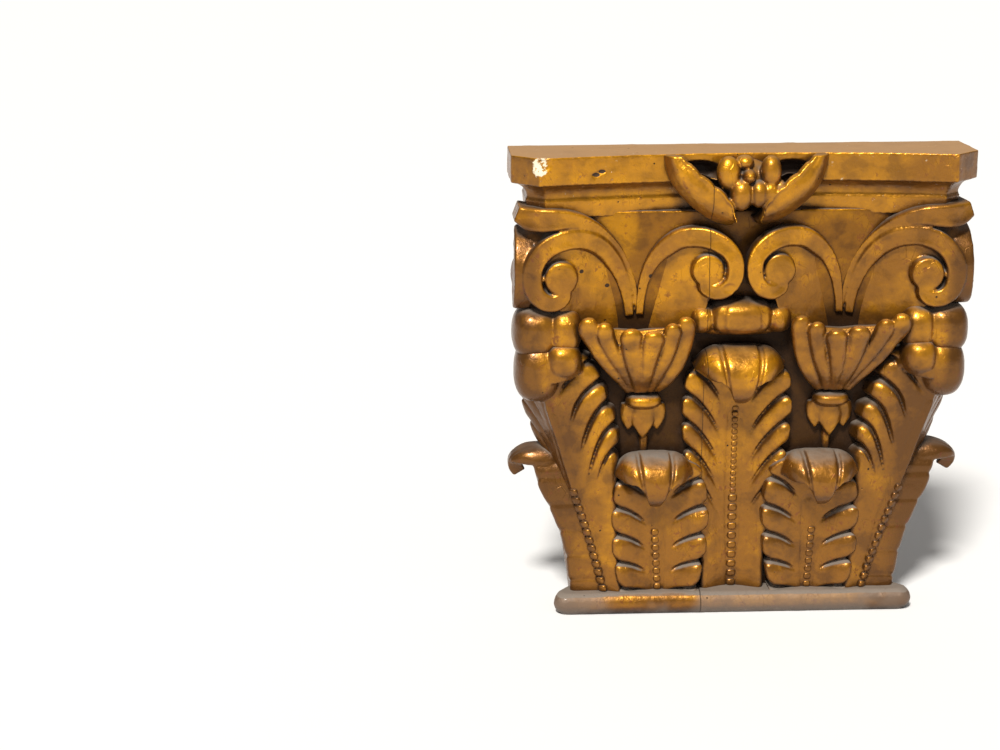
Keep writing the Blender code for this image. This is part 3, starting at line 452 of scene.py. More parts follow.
def worry(obj, dents):
    """The hand of the carver: a slow unevenness, and knocks at given places."""
    mesh = obj.data
    count = len(mesh.vertices)
    points = np.zeros(count * 3, np.float32)
    normals = np.zeros(count * 3, np.float32)
    mesh.vertices.foreach_get("co", points)
    mesh.vertices.foreach_get("normal", normals)
    points = points.reshape(-1, 3)
    normals = normals.reshape(-1, 3)
    shift = np.zeros(count)
    for i, p in enumerate(points):
        shift[i] = sum(deep * noise.noise(Vector(p) * often) for deep, often in UNEVENNESS)
    for centre, radius, depth in dents:
        away = np.linalg.norm((points - np.array(centre)) / radius, axis=1)
        shift -= depth * smooth((1.0 - away) / 0.5)
    still = (np.abs(points[:, 1] - wall()) < 0.0008) | (points[:, 2] < 0.0008)
    shift[still] = 0.0
    points = points + normals * shift[:, None]
    points[:, 1] = np.minimum(points[:, 1], wall())
    mesh.vertices.foreach_set("co", points.astype(np.float32).ravel())
    mesh.update()


def settle(obj, finish="gilt_carving"):
    """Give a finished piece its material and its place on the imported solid."""
    obj.data.materials.clear()
    obj.data.materials.append(materials()[finish])
    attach(obj, "root")
    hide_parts(NODE)
    return obj


# Depth of the carved faces, forward from the wall, by distance from the middle.
def helix_face(across):
    return 70.0 - 25.0 * np.clip((np.abs(across) - 6.0) / 78.0, 0.0, 1.0) ** 1.15


def volute_face(across):
    return 45.0 + 24.0 * smooth((np.abs(across) - 84.0) / 66.0)


def tongue_face(across):
    inner = np.minimum(volute_face(across) + 0.5, 70.0)
    return np.where(across < 150.0, inner, 70.0 - 10.0 * smooth((across - 160.0) / 30.0))


def flat(side):
    """Drawing point of a scroll that faces the front."""
    def place(across, up, forward):
        return np.stack([side * across, up, forward], -1)
    return place


def turned(side):
    """The same scroll turned round the corner on to the side, narrower, ending at the wall."""
    def place(across, up, forward):
        back = forward - volute_face(across)
        out = 184.0 - 0.3 * (69.0 - volute_face(across)) + back
        return np.stack([side * out, up, 4.0 + (across - 90.0) * 0.72], -1)
    return place


def upright(centre, side=1.0):
    """Drawing place for a leaf on the front of the bell, standing at a distance across."""
    def place(a, z, d):
        return np.stack([side * (centre + a), z, eased(BELL_FACE, z) + d], -1)
    return place


def sidelong(side):
    """Drawing place for a leaf on the side of the bell; d is measured from the bell."""
    def place(a, z, d):
        out = eased(BELL_SIDE, z) + eased(SIDE_LEAN, z) + d
        return np.stack([side * out, z, SIDE_CENTRE + a], -1)
    return place


def ahead(centre, side=1.0):
    """Drawing place for a rolled head that leans out to the front."""
    def place(a, z, d):
        return np.stack([side * (centre + np.broadcast_to(a, z.shape)), z, d], -1)
    return place


def outward(side):
    """Drawing place for a rolled head that leans out to the side."""
    def place(a, z, d):
        return np.stack([side * d, z, SIDE_CENTRE + np.broadcast_to(a, z.shape)], -1)
    return place


def cornerwise(side):
    """Drawing place for a leaf folded round a corner: its inner half lies on the front."""
    front_way = np.array([-0.975, -0.22])
    side_way = np.array([0.4, -0.917])
    front_out = np.array([0.22, 0.975])
    side_out = np.array([0.93, 0.37])

    def place(a, z, d):
        rib = np.stack([eased(CORNER_RIB, z), eased(CORNER_RIB_FORWARD, z)], -1)
        blend = smooth((a / 12.0 + 1.0) / 2.0)[..., None]
        inner = np.maximum(a, 0.0)[..., None] * front_way
        outer = np.maximum(-a, 0.0)[..., None] * side_way * 0.7
        out = front_out * blend + side_out * (1.0 - blend)
        out = out / np.linalg.norm(out, axis=-1, keepdims=True)
        spot = rib + inner + outer + out * d[..., None]
        return np.stack([side * spot[..., 0], z, spot[..., 1]], -1)
    return place


def diagonal(side, centre, angle):
    """Drawing place for a rolled head that leans out over a corner."""
    turn = math.radians(angle)
    out = np.array([math.sin(turn), math.cos(turn)])
    along = np.array([-math.cos(turn), math.sin(turn)])

    def place(a, z, d):
        a = np.broadcast_to(a, z.shape)
        spot = np.array(centre) + a[..., None] * along + d[..., None] * out
        return np.stack([side * spot[..., 0], z, spot[..., 1]], -1)
    return place


def band(rows, face, place, relief, under, steps=110):
    """A flat band along a centre line, with eased edges, standing off the ground."""
    path = run(rows, steps)
    across, up, width = path.T
    slope = np.gradient(path[:, :2], axis=0)
    slope /= np.hypot(*slope.T)[:, None]
    out = np.stack([-slope[:, 1], slope[:, 0]], -1)
    front = face(across)
    rings = []
    for offset, drop in ((-1.0, under), *BAND_SECTION, (1.0, under)):
        a = across + out[:, 0] * offset * width / 2
        z = up + out[:, 1] * offset * width / 2
        rings.append(place(a, z, front + relief - drop))
    return Shell().loft(np.stack(rings, 1))


def ground(rows, eye, face, place, sunk, deep, steps=90):
    """The sunken ground inside a scroll: a plate bounded by the band's centre line."""
    path = run(rows[:-2], steps)[:, :2]
    first, last = path[0], path[-1]
    foot = np.array([last * 0.85 + first * 0.15 - (0.0, 20.0),
                     last * 0.4 + first * 0.6 - (0.0, 26.0), first - (0.0, 12.0)])
    loop = np.vstack([path, foot])
    front = place(loop[:, 0], loop[:, 1], face(loop[:, 0]) - sunk)
    back = place(loop[:, 0], loop[:, 1], face(loop[:, 0]) - deep)
    centre = np.array([eye[0] * 0.8 + path[0, 0] * 0.2, eye[1]])
    hub = place(centre[:1], centre[1:], face(centre[:1]) - sunk)[0]
    tail = place(centre[:1], centre[1:], face(centre[:1]) - deep)[0]
    shell = Shell()
    f = shell.add(front)
    b = shell.add(back)
    shell.quads(np.stack([np.append(f, f[0]), np.append(b, b[0])]))
    shell.fan(f, hub)
    shell.fan(b, tail)
    return shell


def disc(eye, face, place, relief, under, sides=56):
    """The round eye that a scroll ends in."""
    turn = np.arange(sides) * 2.0 * math.pi / sides
    rings = []
    for share, drop in ((1.0, under), *EYE_SECTION):
        a = eye[0] + eye[2] * share * np.cos(turn)
        z = eye[1] + eye[2] * share * np.sin(turn)
        rings.append(place(a, z, face(np.full_like(a, eye[0])) + relief - drop))
    return Shell().loft(np.stack(rings))


def scroll(rows, eye, face, place, deep):
    """A whole scroll: its sunken ground, its band and its eye."""
    return [ground(rows, eye, face, place, 7.5, deep), band(rows, face, place, 0.0, 14.0),
            disc(eye, face, place, -0.5, 16.0)]


def leaf(spec, place, fine=24, half=30):
    """Body of an acanthus leaf: a smooth foot, then fingers that fan up from the midrib."""
    lobes = spec["lobes"]
    rows = np.concatenate([np.linspace(-1.0, 0.0, 44, endpoint=False),
                           np.arange(lobes * fine) / fine, lobes + np.linspace(0.0, 1.0, 18)])
    foot, head, edge_top = spec["foot"], spec["head"], spec["edge_top"]
    start, rib_start = spec["edge_start"], spec["rib_start"]
    low = np.clip(rows + 1.0, 0.0, 1.0)
    share = np.clip(rows / lobes, 0.0, 1.0)
    rib = foot + (rib_start - foot) * low + (spec["rib_top"] - rib_start) * share ** 1.25
    edge = foot + (start - foot) * low + (edge_top - start) * share ** spec["pace"]
    wide = eased(spec["width"], edge)
    last = np.clip(rows - lobes, 0.0, 1.0)
    turn = last * math.pi / 2
    edge = edge + (head - edge_top) * np.sin(turn)
    wide = wide * np.cos(turn)
    below = rows < 0.0
    t = np.where(below, low, rows - np.floor(rows))
    t[-1] = 1.0
    top = 1.0 - smooth(last / 0.3)
    rising = np.where(below, 0.0, np.clip(1.0 - t / 0.4, 0.0, 1.0) ** 2.0)
    knee = np.where(below, 0.93, 0.7)
    falling = np.clip((t - knee) / (1.0 - knee), 0.0, 1.0) ** 2.4
    bite = (rising + falling) * top
    tall = np.where(below, start - foot, (edge_top - start) / lobes)
    gap = np.where(below, 1.0 - t, np.minimum(t, 1.0 - t)) * tall
    cut = np.exp(-(gap / 1.5) ** 2) * top
    swell = np.where(below, 0.35 * (1.0 - cut), np.sin(math.pi * t ** 1.1) ** 0.5) * top
    swell = swell + 0.6 * (1.0 - top)
    v = np.linspace(-1.0, 1.0, 2 * half + 1)
    v = 0.6 * v + 0.4 * np.sin(v * math.pi / 2)
    m = np.abs(v)
    calm = 1.0 - (1.0 - spec["outer"]) * (v < 0.0) * (1.0 - last[:, None])
    reach = wide[:, None] * (1.0 - spec["notch"] * calm * bite[:, None] * m ** 2.6)
    a = reach * v
    climb = 0.25 * m + 0.75 * (1.0 - (1.0 - m) ** 2.1)
    z = rib[:, None] + (edge - rib)[:, None] * climb
    grow = smooth((m - 0.22) / 0.6)
    relief = spec["swell"] * swell[:, None] * grow
    relief = relief - spec["groove"] * cut[:, None] * smooth((m - 0.2) / 0.3)
    relief = relief - 3.0 * np.clip((m - 0.84) / 0.16, 0.0, 1.0) ** 2
    d = spec["valley"] + spec["rise"] * m ** 1.3 + relief * calm
    d = d + spec["rib"] * np.exp(-(m / 0.05) ** 2) - 1.2 * np.exp(-((m - 0.12) / 0.03) ** 2)
    front = place(a, z, d)
    back = place(a, z, np.full_like(d, -spec["root"]))
    return Shell().slab(front, back, ("start", "left", "right"))


def curl(spec, place, across=26, along=34):
    """The head of a leaf rolled forward over itself, creased in three, with a rounded tip."""
    v = 0.985 * np.sin(np.linspace(-1.0, 1.0, 2 * across + 1) * math.pi / 2)
    u = np.linspace(0.0, 1.0, along + 1)
    m = np.abs(v)[None, :]
    round_ = np.clip(1.0 - m ** 4.0, 0.0, 1.0) ** 0.5
    start = math.radians(-75.0)
    fall = smooth((m - 0.12) / 0.5)
    stop = math.radians(spec["roll"]) - math.radians(spec["roll"] - spec["side_roll"]) * fall
    angle = start + (stop - start) * u[:, None]
    crease = spec["crease"] * np.exp(-((m - spec["crease_at"]) / 0.05) ** 2)
    size = 1.0 - crease * smooth((angle + 0.6) / 1.0)
    taper = 1.0 - spec["taper"] * np.clip((angle - 0.5) / 1.6, 0.0, 1.0) ** 1.5
    a = spec["half"] * v[None, :] * taper * np.ones_like(angle)
    reach = spec["reach"] * round_ * size
    tall = spec["tall"] * round_ * size
    d = spec["centre_d"] + reach * np.sin(angle)
    low = np.clip(-np.cos(angle), 0.0, 1.0)
    z = spec["centre_z"] + tall * np.cos(angle) - spec["drip"] * low * (1.0 - m ** 1.2)
    front = place(a, z, d)
    d_in = spec["centre_d"] + reach * 0.5 * np.sin(angle)
    z_in = spec["centre_z"] + tall * 0.5 * np.cos(angle) - spec["drip"] * 0.7 * low * (1.0 - m)
    back = place(a * 0.96, z_in, d_in)
    return Shell().slab(front, back, ("start", "end", "left", "right"))


def calyx(side, columns=60, rows=40):
    """The body of the cup, behind its fingers."""
    v = np.linspace(-1.0, 1.0, columns)
    top = 234.0 + 4.0 * np.abs(v)
    u = np.linspace(0.0, 1.0, rows)[:, None]
    z = 185.0 + (top - 185.0)[None, :] * u
    low, high = eased(CUP_OUTER_EDGE, z), eased(CUP_INNER_EDGE, z)
    a = (low + high) / 2 - (low - high) / 2 * v[None, :]
    turn = np.sqrt(np.clip(1.0 - np.abs(v) ** 2.4, 0.0, 1.0))[None, :]
    depth = 4.0 + (12.0 + 6.0 * u - 12.0 * smooth((u - 0.75) / 0.25)) * turn
    branch = smooth((-v[None, :] - 0.35) / 0.65) * smooth((u - 0.3) / 0.7) * 12.0
    front = np.stack([side * a, z, eased(BELL_FACE, z) + depth + branch - 2.0], -1)
    back = np.stack([side * a, z, np.full_like(z, BACKING)], -1)
    return Shell().slab(front, back, ("start", "end", "left", "right"))


def finger(rows, side=1.0, steps=44, around=22):
    """A tapering finger with a rounded tip, along a path that leaves the ground."""
    path = run(rows, steps)
    s = np.linspace(0.0, 1.0, steps)
    centre, wide, thick = path[:, :3], path[:, 3] * 1.08, path[:, 4]
    wide = wide * (1.0 + 0.08 * smooth((s - 0.7) / 0.2))
    centre[:, 2] += 3.5 * smooth((s - 0.68) / 0.32)
    slope = np.gradient(centre, axis=0)
    slope /= np.linalg.norm(slope, axis=1)[:, None]
    across = np.cross(slope, (0.0, 0.0, 1.0))
    across /= np.linalg.norm(across, axis=1)[:, None]
    out = np.cross(across, slope)
    end = np.sqrt(np.clip(1.0 - np.clip((s - 0.86) / 0.14, 0.0, 1.0) ** 2, 0.0004, 1.0))
    turn = np.arange(around) * 2.0 * math.pi / around
    rings = (centre[:, None, :]
             + (wide * end)[:, None, None] * np.cos(turn)[None, :, None] * across[:, None, :]
             + (thick * end)[:, None, None] * np.sin(turn)[None, :, None] * out[:, None, :])
    rings[..., 0] *= side
    return Shell().loft(rings)


def boss(centre, radii, around=48, rows=28, creases=(), pinch=0.14, boxy=1.0):
    """A rounded boss, with upright creases at given shares across its front."""
    def square(x):
        return np.sign(x) * np.abs(x) ** boxy

    tilt = np.linspace(-math.pi / 2, math.pi / 2, rows + 1)[:, None]
    turn = np.arange(around)[None, :] * 2.0 * math.pi / around
    squeeze = np.ones_like(turn)
    for at in creases:
        squeeze = squeeze - pinch * np.exp(-((np.cos(turn) - at) / 0.1) ** 2) * (np.sin(turn) > 0)
    a = centre[0] + radii[0] * square(np.cos(tilt[1:-1])) * square(np.cos(turn)) * squeeze
    d = centre[2] + radii[2] * square(np.cos(tilt[1:-1])) * square(np.sin(turn)) * squeeze
    z = np.broadcast_to(centre[1] + radii[1] * square(np.sin(tilt[1:-1])), a.shape)
    shell = Shell()
    index = shell.tube(np.stack([a, z, d], -1))
    shell.fan(index[0], (centre[0], centre[1] - radii[1], centre[2]))
    shell.fan(index[-1], (centre[0], centre[1] + radii[1], centre[2]))
    return shell


def lump(row, side=1.0):
    """A boss from a row of a table."""
    a, z, d, ra, rz, rd, boxy = row
    return boss((side * a, z, d), (ra, rz, rd), boxy=boxy)


def drop_leaf(side, centre, top, tip, half, forward):
    """A small pointed leaf hanging under the ring."""
    rings = []
    for share in np.linspace(0.0, 1.0, 18):
        wide = half * float(table(DROP_WIDTH, share))
        z = top + (tip - top) * share
        bulge = 3.6 * math.cos(share * 1.3)
        ring = []
        for v in np.linspace(-1.0, 1.0, 9):
            crest = bulge * (1.0 - v * v) - 0.9 * math.exp(-(v / 0.22) ** 2)
            ring.append((side * (centre + wide * v), z, forward - 1.0 + crest))
        ring += [(side * (centre + wide), z, BACKING), (side * (centre - wide), z, BACKING)]
        rings.append(ring)
    return Shell().loft(rings)


def middle_band():
    """The small rolled leaf between the two cups, creased in three."""
    roll = boss((0.0, 246.0, 46.0), (26.0, 14.5, 21.0), boxy=0.72, creases=(-0.55, 0.55),
                pinch=0.06)
    ends = [lump((-31.0, 244.0, 42.0, 11.0, 12.4, 19.0, 0.85)),
            lump((31.0, 244.0, 42.0, 11.0, 12.4, 19.0, 0.85))]
    return [roll] + ends + [lump((0.0, 238.0, 38.0, 36.0, 9.0, 16.0, 0.7))]


def wing(side, steps=60):
    """One leaf of the flower's cup, a plate that stands forward along its inner edge."""
    outer = run(WING_OUTER, steps)
    inner = run(WING_INNER, steps)
    t = np.linspace(0.0, 1.0, steps)
    tooth = 1.6 * np.abs(np.sin(t * math.pi * 4.5)) ** 0.6 * (t < 0.85)
    blunt = np.sqrt(np.clip(1.0 - np.clip((0.1 - t) / 0.1, 0.0, 1.0) ** 2, 0.02, 1.0))
    deep = 58.0 + 6.0 * np.sin(t * math.pi)
    lip = 78.0 + 3.0 * np.sin(t * math.pi) - 9.0 * t
    rings = []
    for i in range(steps):
        middle = (outer[i] + inner[i]) / 2
        o = middle + (outer[i] - middle) * blunt[i]
        n = middle + (inner[i] + np.array([-0.35, 0.9]) * tooth[i] - middle) * blunt[i]
        ring = [(side * o[0], o[1], 44.0)]
        for w in np.linspace(0.0, 1.0, 9):
            p = o + (n - o) * w
            bulge = 4.2 * math.sin(math.pi * min(w * 1.15, 1.0)) * blunt[i]
            ring.append((side * p[0], p[1], deep[i] + 1.0 + (lip[i] - deep[i]) * w + bulge))
        ring += [(side * (n[0] - 1.4), n[1] + 1.4, lip[i] - 3.0),
                 (side * ((o[0] + n[0]) / 2 - 2.0), (o[1] + n[1]) / 2 + 2.5, deep[i] - 6.0),
                 (side * (o[0] - 5.0), o[1] + 3.0, 44.0)]
        rings.append(ring)
    rings = np.array(rings)
    rings[..., 1] = np.minimum(rings[..., 1], DRAWN_TOP - 0.3)
    return Shell().loft(rings)


def layer(outline, height):
    """A plan outline raised to a height."""
    return np.column_stack([outline, np.full(len(outline), height)])


def both_halves(outline):
    """A plan outline completed by its mirror image."""
    return np.array(outline + [(-x, y) for x, y in outline[::-1]])


def abacus_outline(inset, steps=72):
    """Plan of the abacus, hollowed in front and cut across its horns, set in all round."""
    s = sizes()
    half = s.abacus_width / 2 - inset * 0.42
    front = s.abacus_depth - inset
    horn = s.abacus_width / 2 + s.horn_cut - inset
    cut = s.abacus_depth - s.horn_cut - inset * 0.42
    t = np.linspace(-1.0, 1.0, steps + 1)
    outline = list(zip(half * t, wall() - (front - s.hollow * (1.0 - t * t))))
    outline += [(horn, wall() - cut), (horn, wall()), (-horn, wall()), (-horn, wall() - cut)]
    return np.array(outline)


def abacus():
    """The moulded slab on top: fascia, cove and lower band."""
    s = sizes()
    under = s.height - abacus_height()
    cove_foot = under + s.band
    inset = s.cove_inset
    levels = [(inset * 1.15, under), (inset * 0.97, cove_foot - 0.0012),
              (inset * 1.05, cove_foot)]
    for share in np.linspace(0.08, 1.0, 9):
        turn = share * math.pi / 2
        levels.append((inset * (0.16 + 0.92 * math.cos(turn)),
                       cove_foot + s.cove * math.sin(turn) * 0.96))
    levels += [(0.0, cove_foot + s.cove), (0.0, s.height)]
    return Shell(laid=False).prism([layer(abacus_outline(i), h) for i, h in levels])


def base():
    """The rounded slab under the bell, narrower at the wall."""
    s = sizes()
    half = s.base_width / 2
    rings = []
    for share, inset in BASE_EDGE:
        r = inset * BASE_ROUND
        rear = -half + BASE_STEP + r
        outline = [(rear, wall()), (rear, wall() - s.base_depth * 0.4)]
        for turn in np.linspace(0.0, math.pi / 2, 8):
            outline.append((-half + r + BASE_CORNER * (1 - math.cos(turn)),
                            wall() - (s.base_depth - r - BASE_CORNER * (1 - math.sin(turn)))))
        rings.append(layer(both_halves(outline), share * s.base_height))
    return Shell(laid=False).prism(rings)


def bell():
    """The core that the leaves lie on, flaring from the base to the abacus."""
    s = sizes()
    low = s.base_height - BELL_OVERLAP
    high = s.height - abacus_height() + BELL_OVERLAP
    foot_depth, lip_depth = BELL_DEPTHS
    rings = []
    for t in np.linspace(0.0, 1.0, 40):
        flare = t ** 1.7
        half = (s.bell_foot + (s.bell_lip - s.bell_foot) * flare) / 2
        deep = foot_depth + (lip_depth - foot_depth) * flare
        cut = deep * 0.45
        outline = [(-half, wall()), (-half, wall() - (deep - cut)),
                   (-half + cut * 0.4, wall() - (deep - cut * 0.3)),
                   (-half + cut * 1.2, wall() - deep)]
        rings.append(layer(both_halves(outline), low + (high - low) * t))
    return Shell(laid=False).prism(rings)


class Value:
    """A shader socket that takes part in sums."""

    def __init__(self, tree, socket):
        self.tree = tree
        self.socket = socket

    def _with(self, operation, other, swap=False, clamp=False):
        first, second = (other, self) if swap else (self, other)
        made = self.tree.node("ShaderNodeMath", {"operation": operation, "use_clamp": clamp},
                              {0: first, 1: second})
        return made.out(0)

    def __add__(self, other):
        return self._with("ADD", other)

    def __sub__(self, other):
        return self._with("SUBTRACT", other)

    def __rsub__(self, other):
        return self._with("SUBTRACT", other, True)

    def __mul__(self, other):
        return self._with("MULTIPLY", other)

    __radd__ = __add__
    __rmul__ = __mul__

    def clamped(self):
        return self._with("ADD", 0.0, clamp=True)

    def most(self, other):
        return self._with("MAXIMUM", other)

    def size(self):
        return self.tree.node("ShaderNodeMath", {"operation": "ABSOLUTE"}, {0: self}).out(0)

    def between(self, low, high):
        """0 below low, 1 above high, smooth in between; falls where high is the lower."""
        flip = high < low
        made = self.tree.node("ShaderNodeMapRange", {"interpolation_type": "SMOOTHSTEP"},
                              {"Value": self, "From Min": min(low, high),
                               "From Max": max(low, high)}).out(0)
        return 1.0 - made if flip else made


class Made:
    """A node that was added, for reading its outputs."""

    def __init__(self, tree, node):
        self.tree = tree
        self.bare = node

    def out(self, key=0):
        return Value(self.tree, self.bare.outputs[key])


class Finish:
    """A material and its node tree."""

    def __init__(self, name):
        self.material = bpy.data.materials.new(name)
        self.material.use_nodes = True
        self.nodes = self.material.node_tree.nodes
        self.links = self.material.node_tree.links
        self.shader = self.nodes["Principled BSDF"]

    def node(self, kind, settings=None, inputs=None):
        made = self.nodes.new(kind)
        for key, value in (settings or {}).items():
            setattr(made, key, value)
        for key, value in (inputs or {}).items():
            self.feed(made.inputs[key], value)
        return Made(self, made)

    def feed(self, socket, value):
        if isinstance(value, Value):
            self.links.new(value.socket, socket)
        elif hasattr(value, "__len__") and len(value) == 3 and socket.type == "RGBA":
            socket.default_value = (*value, 1.0)
        else:
            socket.default_value = value

    def set(self, name, value):
        self.feed(self.shader.inputs[name], value)

    def mix(self, factor, low, high):
        made = self.nodes.new("ShaderNodeMix")
        made.data_type = "RGBA"
        self.feed(made.inputs["Factor"], factor)
        colour = [i for i in made.inputs if i.type == "RGBA"]
        self.feed(colour[0], low)
        self.feed(colour[1], high)
        return Value(self, [o for o in made.outputs if o.type == "RGBA"][0])

    def clouds(self, where, scale, detail=3.0, rough=0.5, twist=0.0):
        return self.node("ShaderNodeTexNoise", None,
                         {"Vector": where, "Scale": scale, "Detail": detail, "Roughness": rough,
                          "Distortion": twist}).out("Fac")

    def moved(self, where, scale, shift=(0, 0, 0)):
        return self.node("ShaderNodeMapping", None,
                         {"Vector": where, "Scale": scale, "Location": shift}).out(0)

    def spot(self, where, centre, radius):
        """1 at a centre, falling to 0 at a radius that may differ each way."""
        scale = tuple(1.0 / r for r in radius)
        shift = tuple(-c / r for c, r in zip(centre, radius))
        away = self.node("ShaderNodeVectorMath", {"operation": "LENGTH"},
                         {0: self.moved(where, scale, shift)}).out("Value")
        return away.between(1.0, 0.55)


def gilding(name, bright=0.5, dusty=0.35, veil=0.0, dark_and_shade=0.0, crevice=1.0, low_shade=0.0, chips=(),
            seams=(), glints=(), shade_and_marks=(), top=False):
    """Old water gilding: leaf over red clay, toned brown, rubbed on its edges; dirt and painted
    shade in the hollows, painted shade on the sides, underneath and lower down, painted light on
    top.
    """
    c = colours()
    f = Finish(name)
    where = f.node("ShaderNodeTexCoord").out("Object")
    shape = f.node("ShaderNodeNewGeometry")
    point = shape.out("Pointiness")
    facing = f.node("ShaderNodeSeparateXYZ", None, {0: shape.out("Normal")})
    place = f.node("ShaderNodeSeparateXYZ", None, {0: where})
    near, far = (f.node("ShaderNodeAmbientOcclusion", {"samples": 8}, {"Distance": d}).out("AO")
                 for d in (CREASE_SIZE, RECESS_SIZE))
    broad = f.clouds(where, 16.0, 3.0, 0.5)
    patch = f.clouds(where, 46.0, 4.0, 0.6, 0.2)
    speck = f.clouds(where, 210.0, 4.0, 0.65)
    fine = f.clouds(where, 900.0, 3.0, 0.6)
    # Rubbed convex edges; dirt and painted shade in pits, in recesses and in creases.
    edge = point.between(0.515, 0.60)
    pit = point.between(0.487, 0.43) * crevice
    deep = 1.0 - far.between(0.14, 0.62)
    tight = (1.0 - near.between(0.30, 0.94)) * crevice
    # Painted shade on side faces, outer flanks, lower down, to the right and underneath; painted
    # light on faces turned up.
    sideways = facing.out("X").size().between(0.35, 0.92)
    off = place.out("X").size()
    level = place.out("Z")
    flank = (off.between(0.112, 0.150) * level.between(0.235, 0.17)
             + off.between(0.160, 0.172) * level.between(0.342, 0.334)).clamped()
    lower_right_shade = level.between(0.24, 0.10) * 0.24 + place.out("X").between(-0.02, 0.16) * 0.20
    under = facing.out("Z").between(-0.10, -0.80)
    lit = facing.out("Z").between(-0.1, 0.6)

    # Bright leaf where rubbed and in random patches, with painted light on faces turned up and
    # painted shade in the recesses, on the sides, underneath, on the flanks and lower down and to
    # the right, over leaf toned brown.
    bright_leaf_and_light = (broad.between(0.66 - bright * 0.3, 0.84 - bright * 0.3) * 0.6
             + patch.between(0.50, 0.66) * 0.5 + lit * 0.4 + edge * 0.7 - deep * 0.9
             - sideways * 0.7 - under * 0.6 - flank * 0.6 - lower_right_shade).clamped()
    # Painted highlights at given spots.
    for centre, radius in glints:
        bright_leaf_and_light = (bright_leaf_and_light + f.spot(where, centre, radius) * 0.9).clamped()
    colour = f.mix(bright_leaf_and_light, c.toned, c.gold)
    # Brown toning in random patches, with painted shade in the recesses, creases, sides,
    # undersides, flanks and lower right, and a darkening per finish that is painted shade on the
    # bell.
    brown = (patch.between(0.52, 0.34) * 0.45 + deep * 0.8 + tight * 0.55 + sideways * 0.6
             + under * 0.6 + flank * 0.65 + lower_right_shade + dark_and_shade - edge * 0.4).clamped()
    colour = f.mix(brown * 0.82, colour, c.umber)

    # Red clay where the leaf is worn, and soot with painted shade in the hollows and pits.
    red = (speck.between(0.54, 0.66) * patch.between(0.48, 0.60) * 0.6
           + edge * speck.between(0.50, 0.62) * 0.25).clamped()
    colour = f.mix(red, colour, c.bole)
    soot_and_shade = ((1.0 - near.between(0.08, 0.60)) * 0.9 * crevice + pit * 0.8
            + (1.0 - far.between(0.10, 0.52)) * crevice).clamped()
    # Painted shade on the bell below its scroll feet.
    soot_and_shade = (soot_and_shade + low_shade * level.between(*LOW_SHADE_LEVELS)).clamped()
    # Dark spots at given places: wormholes, a nick, and painted shade in the hollows beside the
    # flower.
    for centre, radius in shade_and_marks:
        mark = f.spot(where, centre, radius) + (speck - 0.5) * 1.4 - 0.45
        soot_and_shade = soot_and_shade.most(mark.between(0.0, 0.3))
    colour = f.mix(soot_and_shade * 0.95, colour, c.soot_and_shade)

    # Dust on what faces up, and bare wood on the very top.
    up = facing.out("Z").between(0.60, 0.97)
    grime = (up * (0.15 + patch * 0.9) * dusty * 2.0 * (1.0 - edge * 0.6)
             + broad.between(0.38, 0.53) * veil * (0.5 + up)
             + facing.out("Z").between(0.25, 0.8) * tight * dusty * 2.5
             + tight * speck.between(0.45, 0.7) * 0.25 * dusty).clamped()
    colour = f.mix(grime, colour, c.dust)
    if top:
        lid = facing.out("Z").between(0.7, 0.95) * level.between(
            CAD_HIGH.z - 0.004, CAD_HIGH.z - 0.002)
        colour = f.mix(lid * (0.7 + 0.35 * patch).clamped(), colour, c.top)
        grime = grime.most(lid * 0.85)

    # Wormholes, the seam between the boards, and white ground in the chips.
    holes = f.node("ShaderNodeTexVoronoi", {"feature": "F1"},
                   {"Vector": where, "Scale": 62.0, "Randomness": 1.0}).out("Distance")
    hole = holes.between(0.060, 0.040) * broad.between(0.48, 0.56)
    for across, half in seams:
        hole = hole.most((place.out("X") - across + (patch - 0.5) * 0.0012).size().between(
            half, half * 0.4) * 0.7)
    colour = f.mix(hole, colour, c.soot_and_shade)
    white = None
    for centre, radius in chips:
        mark = f.spot(where, centre, radius)
        mark = (mark + (speck - 0.5) * 3.6 + (fine - 0.5) * 1.2 - 0.5).between(0.15, 0.50)
        white = mark if white is None else white.most(mark)
    if white is not None:
        colour = f.mix(white, colour, c.gesso)
        grime = grime.most(white)

    f.set("Base Color", colour)
    dull = grime.most(soot_and_shade * 0.8).clamped()
    f.set("Metallic", ((1.0 - dull) * 0.62).clamped())
    f.set("Roughness", (0.20 + patch * 0.16 + speck * 0.14 + dull * 0.40 - edge * 0.06).clamped())
    f.set("Coat Weight", ((1.0 - dull) * 0.2).clamped())
    f.shader.inputs["Coat Roughness"].default_value = 0.12
    f.shader.inputs["Specular IOR Level"].default_value = 0.5 - 0.4 * low_shade

    # Fine crackle in the gesso.
    cracks = f.node("ShaderNodeTexVoronoi", {"feature": "DISTANCE_TO_EDGE"},
                    {"Vector": f.moved(where, (1.0, 1.0, 0.5)), "Scale": 120.0}).out("Distance")
    height = (patch * 0.8 + speck * 0.4 + fine * 0.12
              - cracks.between(0.03, 0.0) * patch.between(0.5, 0.62) * 0.25 - hole * 1.4)
    f.set("Normal", f.node("ShaderNodeBump", None,
                           {"Height": height, "Distance": 0.0014, "Strength": 0.6}).out())
    return f.material


